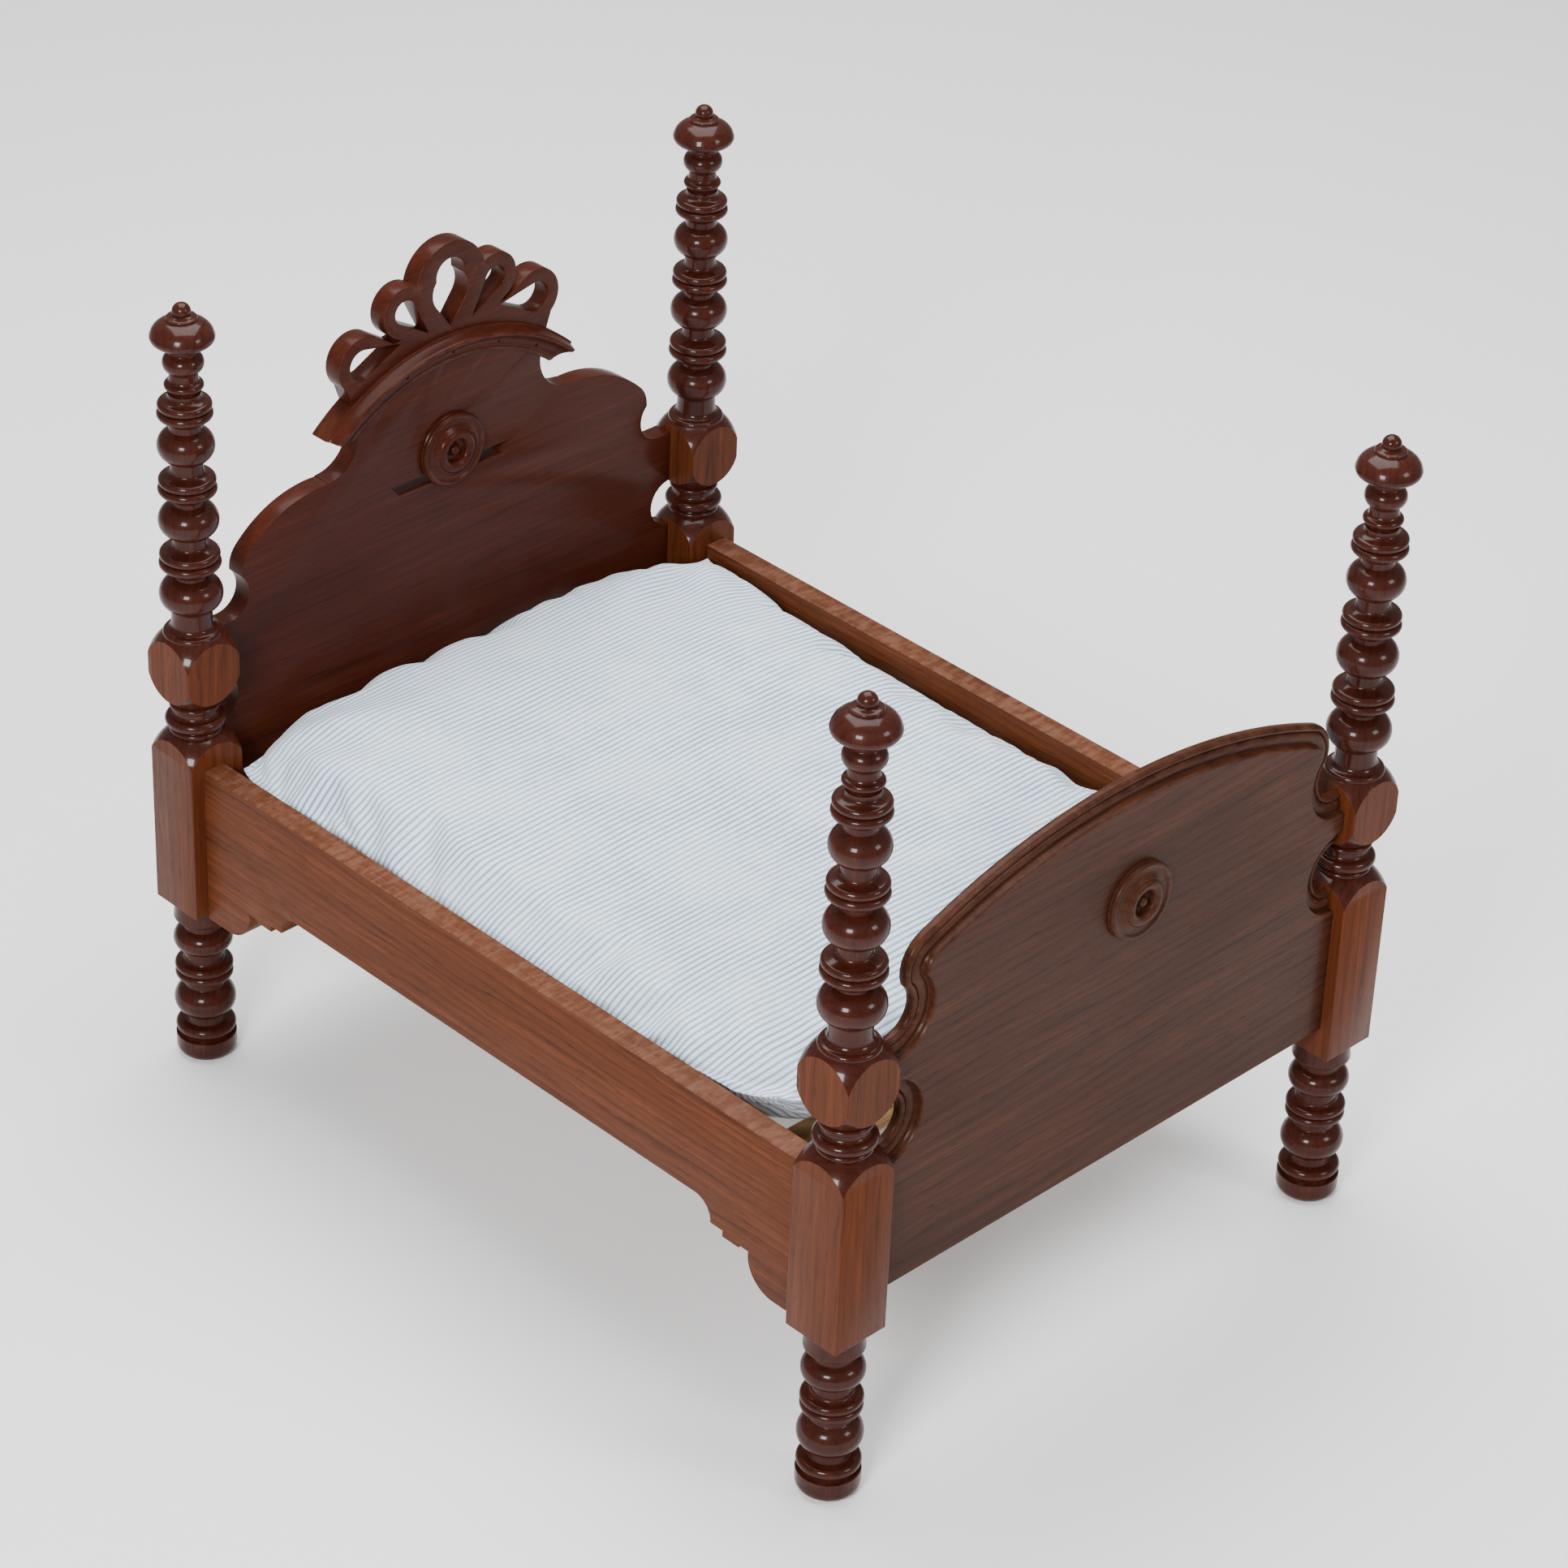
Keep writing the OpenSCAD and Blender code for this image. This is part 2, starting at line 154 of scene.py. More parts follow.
def smooth(piece: bpy.types.Object, degrees: float = 32.0) -> None:
    """Shades a piece smooth, keeping edges sharper than an angle.

    Args:
        piece: The piece to shade.
        degrees: The angle above which an edge stays sharp.
    """
    take(piece)
    bpy.ops.object.shade_smooth_by_angle(angle=math.radians(degrees))


def ease(piece: bpy.types.Object, width: float, segments: int = 2, degrees: float = 28.0) -> None:
    """Rounds over the arrises of a piece.

    Args:
        piece: The piece to ease.
        width: Width of the rounding in metres.
        segments: Faces across the rounding.
        degrees: Only edges sharper than this are rounded.
    """
    take(piece)
    bevel = piece.modifiers.new("eased arris", "BEVEL")
    bevel.width = width
    bevel.segments = segments
    bevel.limit_method = "ANGLE"
    bevel.angle_limit = math.radians(degrees)
    bevel.use_clamp_overlap = True
    bpy.ops.object.modifier_apply(modifier=bevel.name)


def carve(piece: bpy.types.Object, tool: bpy.types.Object, how: str) -> None:
    """Joins, cuts or trims a piece with another solid, which is used up.

    Args:
        piece: The piece that is kept.
        tool: The solid that is used up.
        how: UNION, DIFFERENCE or INTERSECT.
    """
    take(piece)
    work = piece.modifiers.new("carve", "BOOLEAN")
    work.operation = how
    work.object = tool
    work.solver = "EXACT"
    bpy.ops.object.modifier_apply(modifier=work.name)
    bpy.data.meshes.remove(tool.data)


def start_point(name: str, place: Place) -> bpy.types.Object:
    """Starts a piece as a single point at a place.

    Args:
        name: The name of the piece.
        place: Where the point goes.

    Returns:
        The new piece.
    """
    clear_selection()
    bpy.ops.mesh.primitive_plane_add(size=0.01, location=(0, 0, 0))
    piece = bpy.context.object
    piece.name = piece.data.name = name
    with editing(piece):
        bpy.ops.mesh.select_all(action="SELECT")
        bpy.ops.mesh.merge(type="CENTER")
        bpy.ops.mesh.select_all(action="SELECT")
        bpy.ops.transform.translate(value=place)
    return piece


def draw_line(piece: bpy.types.Object, places: list[Place]) -> None:
    """Draws a line from the piece's last point through further places.

    Args:
        piece: A piece that is one point at the first place.
        places: All the places, the first included.
    """
    with editing(piece):
        bpy.ops.mesh.select_all(action="SELECT")
        for a, b in zip(places, places[1:]):
            step = (b[0] - a[0], b[1] - a[1], b[2] - a[2])
            bpy.ops.mesh.extrude_vertices_move(TRANSFORM_OT_translate={"value": step})


def turn(
    name: str,
    profile: Profile,
    facing: Facing = Facing.UPRIGHT,
    centre: Place = (0.0, 0.0, 0.0),
    steps: int = 72,
) -> bpy.types.Object:
    """Turns a half profile on the lathe.

    Args:
        name: The name of the piece.
        profile: Radius and distance along the axis, in metres, from end to end.
        facing: The axis it is turned about.
        centre: A point on the axis.
        steps: Faces round the axis.

    Returns:
        The closed turned piece.
    """
    if facing is Facing.UPRIGHT:
        places = [(centre[0] + r, centre[1], centre[2] + a) for r, a in profile]
    else:
        places = [(centre[0] + r, centre[1] + a, centre[2]) for r, a in profile]
    piece = start_point(name, places[0])
    draw_line(piece, places)
    with editing(piece):
        bpy.ops.mesh.select_all(action="SELECT")
        bpy.ops.mesh.spin(steps=steps, angle=math.tau, center=centre, axis=facing.value)
    close_up(piece)
    return piece


def block(name: str, low: Vector, high: Vector, eased: float = 0.0) -> bpy.types.Object:
    """Makes a squared block between two corners.

    Args:
        name: The name of the piece.
        low: Its lowest corner.
        high: Its highest corner.
        eased: Width of the rounding of all its edges.

    Returns:
        The block.
    """
    clear_selection()
    bpy.ops.mesh.primitive_cube_add(size=1, location=(low + high) / 2, scale=high - low)
    piece = bpy.context.object
    piece.name = piece.data.name = name
    settle(piece)
    if eased:
        with editing(piece, Pick.EDGES):
            bpy.ops.mesh.select_all(action="SELECT")
            bpy.ops.mesh.bevel(offset=eased, segments=2, affect="EDGES")
    return piece


def stand(piece: bpy.types.Object) -> None:
    """Lowers a piece from the drawing's base line, so that the feet stand on the floor.

    Args:
        piece: A piece made at the heights of the drawing.
    """
    piece.data.transform(Matrix.Translation((0, 0, -FLOOR_LINE)))


def mark_arrises(piece: bpy.types.Object, flat: float = 1e-4) -> None:
    """Writes how sharp each outer edge is, so that wear stays on the edges and off the flats.

    Args:
        piece: The piece.
        flat: Points of faces larger than this, in square metres, stay unworn.
    """
    shell = bmesh.new()
    shell.from_mesh(piece.data)
    sharp = shell.verts.layers.float.new("arris")
    for point in shell.verts:
        if all(face.calc_area() < flat for face in point.link_faces):
            turns = [edge.calc_face_angle_signed(0.0) for edge in point.link_edges]
            point[sharp] = min(max(max(turns, default=0.0) / 0.5, 0.0), 1.0)
    shell.to_mesh(piece.data)
    shell.free()


def copy_piece(piece: bpy.types.Object, name: str) -> bpy.types.Object:
    """Copies a piece with a mesh of its own.

    Args:
        piece: The piece to copy.
        name: The name of the copy.

    Returns:
        The copy.
    """
    twin = bpy.data.objects.new(name, piece.data.copy())
    twin.data.name = name
    bpy.context.scene.collection.objects.link(twin)
    return twin


def from_stock(
    node: str, name: str, eased: float, segments: int = 3, pierced: bool = False
) -> bpy.types.Object:
    """Makes a finished piece from a sawn shape of the frame: cleaned, then eased along its arrises.

    Args:
        node: The name of the sawn shape.
        name: The name of the finished piece.
        eased: Width of the eased arrises in metres.
        segments: Faces across an arris.
        pierced: Whether its flats have openings, so that they stay split into triangles.

    Returns:
        The finished piece.
    """
    piece = copy_piece(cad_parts[node], name)
    piece.data.materials.clear()
    take(piece)
    if piece.data.has_custom_normals:
        bpy.ops.mesh.customdata_custom_splitnormals_clear()
    with editing(piece):
        bpy.ops.mesh.select_all(action="SELECT")
        bpy.ops.mesh.remove_doubles(threshold=0.004 * MM)
        bpy.ops.mesh.dissolve_limited(angle_limit=math.radians(0.4))
        bpy.ops.mesh.normals_make_consistent(inside=False)
        if pierced:
            bpy.ops.mesh.quads_convert_to_tris(quad_method="BEAUTY", ngon_method="BEAUTY")
    ease(piece, eased, segments)
    smooth(piece)
    return piece


def arc(cx: float, cz: float, r: float, start: float, end: float, count: int) -> Profile:
    """Points along an arc.

    Args:
        cx: Middle of the arc, first coordinate.
        cz: Middle of the arc, second coordinate.
        r: Radius.
        start: First angle in degrees.
        end: Last angle in degrees.
        count: Number of steps.

    Returns:
        The points, both ends included.
    """
    turns = [math.radians(start + (end - start) * i / count) for i in range(count + 1)]
    return [(cx + r * math.cos(t), cz + r * math.sin(t)) for t in turns]


def thin_out(line: Profile, tolerance: float) -> Profile:
    """Drops the points of a line that hardly change its shape.

    Args:
        line: The points.
        tolerance: The most that the shape may change.

    Returns:
        The points that are kept.
    """
    if len(line) < 3:
        return line
    (ax, ay), (bx, by) = line[0], line[-1]
    span = math.hypot(bx - ax, by - ay) or 1e-9
    gaps = [abs((bx - ax) * (ay - y) - (ax - x) * (by - ay)) / span for x, y in line[1:-1]]
    worst = max(range(len(gaps)), key=gaps.__getitem__)
    if gaps[worst] < tolerance:
        return [line[0], line[-1]]
    split = worst + 1
    return thin_out(line[: split + 1], tolerance)[:-1] + thin_out(line[split:], tolerance)


def hand_over(piece: bpy.types.Object, body: str, slot: str, *nodes: str) -> None:
    """Gives a finished piece to the model.

    Args:
        piece: The finished piece.
        body: The body that it moves with.
        slot: The finish it belongs to. It is not used.
        nodes: The sawn shapes that it stands for.
    """
    mark_arrises(piece)
    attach(piece, body)
    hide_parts(*nodes)
    LOG.info("%s rides on %s, %d faces", piece.name, body, len(piece.data.polygons))


# ---------------------------------------------------------------- finishes


def tint(red: float, green: float, blue: float) -> Colour:
    """Turns a display colour from 0 to 255 into the linear colour that shaders use.

    Args:
        red: Red, 0 to 255.
        green: Green, 0 to 255.
        blue: Blue, 0 to 255.

    Returns:
        The linear colour.
    """

    def one(value: float) -> float:
        """Turns one channel."""
        value /= 255
        return value / 12.92 if value <= 0.04045 else ((value + 0.055) / 1.055) ** 2.4

    return one(red), one(green), one(blue)


class Recipe:
    """A material that is being mixed, with short ways to add its nodes."""

    def __init__(self, name: str) -> None:
        """Starts an empty material.

        Args:
            name: The name of the material.
        """
        self.material = bpy.data.materials.new(name)
        self.material.use_nodes = True
        self.tree = self.material.node_tree
        self.tree.nodes.clear()
        self.shader = self.tree.nodes.new("ShaderNodeBsdfPrincipled")
        output = self.tree.nodes.new("ShaderNodeOutputMaterial")
        self.tree.links.new(self.shader.outputs["BSDF"], output.inputs["Surface"])
        self.place = self.tree.nodes.new("ShaderNodeTexCoord").outputs["Object"]

    def put(self, socket: bpy.types.NodeSocket, value: object) -> None:
        """Sets a socket to a plain value or links another socket to it.

        Args:
            socket: The socket to fill.
            value: A number, a tuple or another socket.
        """
        if isinstance(value, bpy.types.NodeSocket):
            self.tree.links.new(value, socket)
        elif isinstance(value, tuple) and len(value) == 3 and socket.type == "RGBA":
            socket.default_value = (*value, 1.0)
        else:
            socket.default_value = value

    def mapped(
        self, source: object, scale: Place, turned: Place = (0, 0, 0), moved: Place = (0, 0, 0)
    ) -> Socket:
        """Moves, turns and stretches coordinates.

        Args:
            source: The coordinates.
            scale: Stretch along each axis.
            turned: Turn about each axis in degrees.
            moved: Shift along each axis.

        Returns:
            The changed coordinates.
        """
        node = self.tree.nodes.new("ShaderNodeMapping")
        self.put(node.inputs["Vector"], source)
        node.inputs["Location"].default_value = moved
        node.inputs["Rotation"].default_value = tuple(math.radians(t) for t in turned)
        node.inputs["Scale"].default_value = scale
        return node.outputs["Vector"]

    def noise(
        self, source: object, scale: float, detail: float = 3.0, rough: float = 0.55, bend: float = 0.0
    ) -> Socket:
        """Adds cloudy noise.

        Args:
            source: The coordinates.
            scale: Patches per metre.
            detail: Number of finer layers.
            rough: Strength of the finer layers.
            bend: How far the pattern is bent by itself.

        Returns:
            A value from 0 to 1.
        """
        node = self.tree.nodes.new("ShaderNodeTexNoise")
        self.put(node.inputs["Vector"], source)
        for key, value in (("Scale", scale), ("Detail", detail), ("Roughness", rough), ("Distortion", bend)):
            node.inputs[key].default_value = value
        return node.outputs["Fac"]

    def rings(
        self, source: object, scale: float, bend: float, detail: float = 3.0, fine: float = 1.5
    ) -> Socket:
        """Adds growth rings round the X axis.

        Args:
            source: The coordinates.
            scale: Density of the rings.
            bend: How wavy the rings are.
            detail: Number of finer layers in the waviness.
            fine: Density of the waviness.

        Returns:
            A value from 0 to 1.
        """
        node = self.tree.nodes.new("ShaderNodeTexWave")
        node.wave_type = "RINGS"
        node.rings_direction = "X"
        node.wave_profile = "SAW"
        self.put(node.inputs["Vector"], source)
        for key, value in (
            ("Scale", scale),
            ("Distortion", bend),
            ("Detail", detail),
            ("Detail Scale", fine),
            ("Detail Roughness", 0.55),
        ):
            node.inputs[key].default_value = value
        return node.outputs["Fac"]

    def spots(self, source: object, scale: float, reach: float, jitter: float = 1.0) -> Socket:
        """Adds scattered spots, 1 at each middle and 0 beyond its reach.

        Args:
            source: The coordinates.
            scale: Spots per metre.
            reach: Radius of a spot as a part of their spacing.
            jitter: How irregular their places are.

        Returns:
            A value from 0 to 1.
        """
        node = self.tree.nodes.new("ShaderNodeTexVoronoi")
        self.put(node.inputs["Vector"], source)
        node.inputs["Scale"].default_value = scale
        node.inputs["Randomness"].default_value = jitter
        return self.between(node.outputs["Distance"], 0.0, reach, 1.0, 0.0)

    def between(
        self, value: object, low: float, high: float, to_low: float = 0.0, to_high: float = 1.0
    ) -> Socket:
        """Stretches a range of values onto another and cuts off what lies outside.

        Args:
            value: The value.
            low: Start of the range.
            high: End of the range.
            to_low: What the start becomes.
            to_high: What the end becomes.

        Returns:
            The new value.
        """
        node = self.tree.nodes.new("ShaderNodeMapRange")
        node.interpolation_type = "SMOOTHSTEP"
        self.put(node.inputs["Value"], value)
        for key, number in (("From Min", low), ("From Max", high), ("To Min", to_low), ("To Max", to_high)):
            node.inputs[key].default_value = number
        return node.outputs["Result"]

    def sum(self, how: str, a: object, b: object = 0.0) -> Socket:
        """Works out one step of arithmetic.

        Args:
            how: ADD, SUBTRACT, MULTIPLY, MAXIMUM and so on.
            a: First value.
            b: Second value.

        Returns:
            The result.
        """
        node = self.tree.nodes.new("ShaderNodeMath")
        node.operation = how
        self.put(node.inputs[0], a)
        self.put(node.inputs[1], b)
        return node.outputs["Value"]

    def blend(self, amount: object, a: object, b: object, how: str = "MIX") -> Socket:
        """Mixes two colours.

        Args:
            amount: How much of the second.
            a: First colour.
            b: Second colour.
            how: The way of mixing.

        Returns:
            The mixed colour.
        """
        node = self.tree.nodes.new("ShaderNodeMix")
        node.data_type = "RGBA"
        node.blend_type = how
        self.put(node.inputs[0], amount)
        self.put(node.inputs[6], a)
        self.put(node.inputs[7], b)
        return node.outputs[2]

    def part(self, source: object, axis: str) -> Socket:
        """Takes one coordinate out of three.

        Args:
            source: The coordinates.
            axis: X, Y or Z.

        Returns:
            The coordinate.
        """
        node = self.tree.nodes.new("ShaderNodeSeparateXYZ")
        self.put(node.inputs[0], source)
        return node.outputs[axis]

    def arris(self, low: float = 0.3, high: float = 0.9) -> Socket:
        """Finds the outer edges of a piece.

        Args:
            low: Sharpness where the edge begins.
            high: Sharpness where it is whole.

        Returns:
            1 on a sharp outer edge and 0 on a flat face.
        """
        node = self.tree.nodes.new("ShaderNodeAttribute")
        node.attribute_name = "arris"
        return self.between(node.outputs["Fac"], low, high)

    def raise_by(self, height: object, depth: float, strength: float = 1.0, under: object = None) -> Socket:
        """Turns a height into surface relief.

        Args:
            height: The height from 0 to 1.
            depth: The real depth in metres of a height of 1.
            strength: Strength of the relief.
            under: Relief that this one is laid over.

        Returns:
            The relief.
        """
        node = self.tree.nodes.new("ShaderNodeBump")
        node.inputs["Distance"].default_value = depth
        node.inputs["Strength"].default_value = strength
        self.put(node.inputs["Height"], height)
        if under is not None:
            self.put(node.inputs["Normal"], under)
        return node.outputs["Normal"]

    def finish(
        self, colour: object, roughness: object, relief: object, **plain: object
    ) -> bpy.types.Material:
        """Fills the shader's sockets.

        Args:
            colour: Base colour.
            roughness: Roughness.
            relief: Surface relief.
            plain: Uniform values, by socket name with underscores for spaces.

        Returns:
            The finished material.
        """
        self.put(self.shader.inputs["Base Color"], colour)
        self.put(self.shader.inputs["Roughness"], roughness)
        self.put(self.shader.inputs["Normal"], relief)
        for key, value in plain.items():
            self.put(self.shader.inputs[key.replace("_", " ")], value)
        return self.material


class Grain(Enum):
    """The way that the fibres of a piece of wood run."""

    ACROSS_BED = (0.0, 0.0, 0.0)
    ALONG_BED = (0.0, 0.0, -90.0)
    UPRIGHT = (0.0, 90.0, 0.0)


@dataclass(frozen=True)
class Wood:
    """A stained and varnished timber."""

    name: str
    middle: Colour
    grain: Grain
    contrast: float = 1.0
    figure: float = 0.3
    ring_density: float = 60.0
    streaks: float = 0.3
    roughness: float = 0.36
    shine: float = 0.06
    coat: float = 0.05
    coat_roughness: float = 0.16
    wear: float = 0.3
    worn: Colour = (0.11, 0.045, 0.026)
    pores: float = 0.4
    relief: float = 1.0
    bare_above: float | None = None
    flats: Colour | None = None

    def flat_faces(self, recipe: Recipe) -> Socket:
        """Finds the square faces of a post, which took less stain than its turnings.

        Args:
            recipe: The material.

        Returns:
            1 on the square faces of a post and 0 elsewhere.
        """
        away = []
        for axis, middle in (("X", POST_X * MM), ("Y", POST_Y * MM)):
            side = recipe.sum("ABSOLUTE", recipe.part(recipe.place, axis))
            away.append(recipe.sum("ABSOLUTE", recipe.sum("SUBTRACT", side, middle)))
        return recipe.between(recipe.sum("MAXIMUM", *away), FLATS_FROM * MM, FLATS_FULL * MM)

    def mix(self, seed: int) -> bpy.types.Material:
        """Mixes the finish for one piece of timber.

        Args:
            seed: Chooses the part of the tree that the piece is cut from.

        Returns:
            The material.
        """
        recipe = Recipe(f"{self.name}_{seed}")
        along = recipe.mapped(recipe.place, (1, 1, 1), self.grain.value)
        shift = (0.37 * seed, 0.23 * seed + 0.05, 0.11 * seed)
        # growth rings of a board cut slightly off the pith
        log_line = recipe.mapped(
            along, (0.13, 1.0, 1.0), (0, 3.0 + seed % 3, 2.0 - seed % 4),
            (0.1 * seed, 0.055 + 0.011 * (seed % 5), 0.075 + 0.013 * (seed % 4)),
        )
        ring = recipe.between(recipe.rings(log_line, self.ring_density, 9.0, 2.5, 0.9), 0.45, 1.0)
        # fibres, coarse and fine, and the short dark pores
        stripes = recipe.noise(recipe.mapped(along, (5, 95, 95), moved=shift), 1.0, 5.0, 0.62, 0.35)
        fibres = recipe.noise(recipe.mapped(along, (24, 900, 900), moved=shift), 1.0, 3.0, 0.6)
        pores = recipe.noise(recipe.mapped(along, (80, 1300, 1300), moved=shift), 1.0, 2.0, 0.5)
        pores = recipe.between(pores, 0.6, 0.7)
        cloud = recipe.noise(recipe.mapped(along, (4, 11, 11), moved=shift), 1.0, 3.0, 0.55)
        streak = recipe.noise(recipe.mapped(along, (3.2, 42, 42), moved=shift), 1.0, 2.0, 0.5, 0.3)
        tone = recipe.sum("MULTIPLY", recipe.sum("SUBTRACT", stripes, 0.5), 1.1)
        tone = recipe.sum("ADD", tone, recipe.sum("MULTIPLY", recipe.sum("SUBTRACT", fibres, 0.5), 0.8))
        growth = recipe.sum("MULTIPLY", recipe.sum("SUBTRACT", 0.35, ring), self.figure)
        tone = recipe.sum("ADD", tone, growth)
        tone = recipe.sum("ADD", recipe.sum("MULTIPLY", tone, self.contrast), 0.5)
        middle, varnish = self.middle, self.coat
        if self.flats is not None:
            flat = self.flat_faces(recipe)
            middle = recipe.blend(flat, self.middle, self.flats)
            varnish = recipe.sum("MULTIPLY", recipe.sum("SUBTRACT", 1.0, flat), self.coat)
        colour = recipe.blend(recipe.between(tone, 0.05, 0.5), (0.55, 0.52, 0.52), (1.0, 1.0, 1.0))
        colour = recipe.blend(recipe.between(tone, 0.5, 0.95), colour, (1.55, 1.5, 1.45))
        colour = recipe.blend(1.0, colour, middle, "MULTIPLY")
        shade = tuple(0.34 * c for c in self.middle)
        dark = recipe.sum("MULTIPLY", recipe.between(cloud, 0.5, 0.78), 0.35)
        streaked = recipe.sum("MULTIPLY", recipe.between(streak, 0.64, 0.76), self.streaks)
        dark = recipe.sum("MAXIMUM", dark, streaked)
        dark = recipe.sum("MAXIMUM", dark, recipe.sum("MULTIPLY", pores, self.pores))
        colour = recipe.blend(dark, colour, shade)
        # varnish worn off the arrises, and small knocks that show the paler wood
        rub = recipe.noise(recipe.mapped(recipe.place, (1, 1, 1), moved=shift), 55.0, 4.0, 0.7)
        worn = recipe.sum("MULTIPLY", recipe.arris(), recipe.between(rub, 0.42, 0.62))
        knocks = recipe.spots(recipe.mapped(recipe.place, (1, 1, 1), moved=shift), 36.0, 0.03)
        bare = recipe.sum("MULTIPLY", worn, self.wear)
        bare = recipe.sum("MAXIMUM", bare, recipe.sum("MULTIPLY", knocks, 0.4))
        roughness = recipe.sum(
            "ADD", recipe.between(cloud, 0.3, 0.7, self.roughness - 0.05, self.roughness + 0.07),
            recipe.sum("MULTIPLY", pores, 0.15),
        )
        if self.bare_above is not None:
            top = recipe.between(recipe.part(recipe.place, "Z"), self.bare_above - 0.4 * MM, self.bare_above)
            saw = recipe.noise(recipe.mapped(recipe.place, (60, 160, 1), moved=shift), 1.0, 4.0, 0.65)
            patch = recipe.sum("MULTIPLY", top, recipe.between(saw, 0.4, 0.66, 0.1, 0.6))
            bare = recipe.sum("MAXIMUM", bare, patch)
            roughness = recipe.sum("ADD", roughness, recipe.sum("MULTIPLY", patch, 0.3))
        colour = recipe.blend(bare, colour, self.worn)
        roughness = recipe.sum("ADD", roughness, recipe.sum("MULTIPLY", bare, 0.15))
        # relief: uneven hand planing, open grain and dents
        plane = recipe.noise(recipe.mapped(along, (9, 26, 26), moved=shift), 1.0, 1.0, 0.4)
        relief = recipe.raise_by(plane, 0.8 * MM, 0.3 * self.relief)
        relief = recipe.raise_by(recipe.sum("ADD", fibres, recipe.sum("MULTIPLY", pores, -0.8)),
                                 0.08 * MM, 0.5 * self.relief, relief)
        relief = recipe.raise_by(recipe.sum("SUBTRACT", 1.0, knocks), 0.5 * MM, 0.5, relief)
        return recipe.finish(
            colour, roughness, relief, Coat_Weight=varnish, Coat_Roughness=self.coat_roughness,
            Specular_IOR_Level=self.shine,
        )


@dataclass(frozen=True)
class Steel:
    """Dulled steel of brads, screws and nails."""

    name: str = "dulled_steel"
    clean: Colour = (0.2, 0.17, 0.15)
    rust: Colour = (0.07, 0.028, 0.014)

    def mix(self) -> bpy.types.Material:
        """Mixes the finish.

        Returns:
            The material.
        """
        recipe = Recipe(self.name)
        stain = recipe.noise(recipe.place, 900.0, 4.0, 0.65)
        cover = recipe.between(stain, 0.4, 0.62)
        colour = recipe.blend(cover, self.clean, self.rust)
        roughness = recipe.between(stain, 0.3, 0.7, 0.35, 0.75)
        relief = recipe.raise_by(recipe.noise(recipe.place, 2600.0, 3.0, 0.6), 0.05 * MM, 0.5)
        return recipe.finish(colour, roughness, relief, Metallic=0.85)


@dataclass(frozen=True)
class Ticking:
    """Cotton ticking with fine pale stripes, laid out by the cloth's own measure."""

    name: str = "striped_ticking"
    ground: Colour = tint(222, 232, 236)
    stripe: Colour = tint(74, 116, 168)
    pitch: float = 5.0 * MM
    width: float = 0.4

    def mix(self) -> bpy.types.Material:
        """Mixes the finish.

        Returns:
            The material.
        """
        recipe = Recipe(self.name)
        layout = recipe.tree.nodes.new("ShaderNodeUVMap")
        layout.uv_map = "cloth"
        cloth = layout.outputs["UV"]
        wander = recipe.noise(cloth, 9.0, 1.0, 0.4)
        run = recipe.sum("ADD", recipe.part(cloth, "Y"), recipe.sum("MULTIPLY", wander, 2.0 * MM))
        phase = recipe.sum("FRACT", recipe.sum("DIVIDE", run, self.pitch))
        off = recipe.sum("ABSOLUTE", recipe.sum("SUBTRACT", phase, 0.5))
        half = self.width / 2
        line = recipe.between(off, half - 0.07, half + 0.07, 1.0, 0.0)
        thread = recipe.noise(recipe.mapped(cloth, (2400, 5200, 1)), 1.0, 2.0, 0.6)
        fade = recipe.noise(cloth, 16.0, 3.0, 0.6)
        strength = recipe.sum("MULTIPLY", line, recipe.between(fade, 0.3, 0.7, 0.62, 0.88))
        strength = recipe.sum("MULTIPLY", strength, recipe.between(thread, 0.25, 0.7, 0.8, 1.0))
        ground = recipe.blend(
            recipe.between(recipe.noise(cloth, 24.0, 4.0, 0.6), 0.35, 0.75), self.ground,
            tuple(c * f for c, f in zip(self.ground, (0.9, 0.93, 0.96))),
        )
        colour = recipe.blend(strength, ground, self.stripe)
        # plain weave and soft crumpling
        warp = recipe.sum("SINE", recipe.sum("MULTIPLY", recipe.part(cloth, "X"), math.tau / (0.55 * MM)))
        weft = recipe.sum("SINE", recipe.sum("MULTIPLY", recipe.part(cloth, "Y"), math.tau / (0.55 * MM)))
        weave = recipe.sum("ADD", recipe.sum("MULTIPLY", recipe.sum("MULTIPLY", warp, weft), 0.5), 0.5)
        crumple = recipe.noise(recipe.mapped(cloth, (38, 30, 1)), 1.0, 4.0, 0.55, 0.6)
        relief = recipe.raise_by(crumple, 2.2 * MM, 0.32)
        relief = recipe.raise_by(weave, 0.06 * MM, 0.35, relief)
        return recipe.finish(
            colour, 0.86, relief, Sheen_Weight=0.22, Sheen_Roughness=0.45, Specular_IOR_Level=0.25
        )


POST_WOOD = Wood(
    "post_walnut", (0.036, 0.0075, 0.004), Grain.UPRIGHT, figure=0.25, roughness=0.3, shine=0.06, coat=0.26,
    coat_roughness=0.1, wear=0.25, pores=0.3, relief=0.7, streaks=0.2, flats=(0.079, 0.0205, 0.0072),
)
HEAD_WOOD = Wood(
    "headboard_walnut", (0.043, 0.0088, 0.0042), Grain.ACROSS_BED, figure=0.16, roughness=0.33, shine=0.05,
    coat=0.1, streaks=0.3,
)
FOOT_WOOD = Wood(
    "footboard_walnut", (0.043, 0.0138, 0.0068), Grain.ACROSS_BED, figure=0.3, ring_density=44.0,
    roughness=0.38, pores=0.5, streaks=0.4,
)
RAIL_WOOD = Wood(
    "rail_walnut", (0.086, 0.025, 0.0095), Grain.ALONG_BED, figure=0.3, roughness=0.42, coat=0.03,
    coat_roughness=0.25, wear=0.4, pores=0.5, worn=(0.17, 0.085, 0.055), bare_above=0.2659,
)
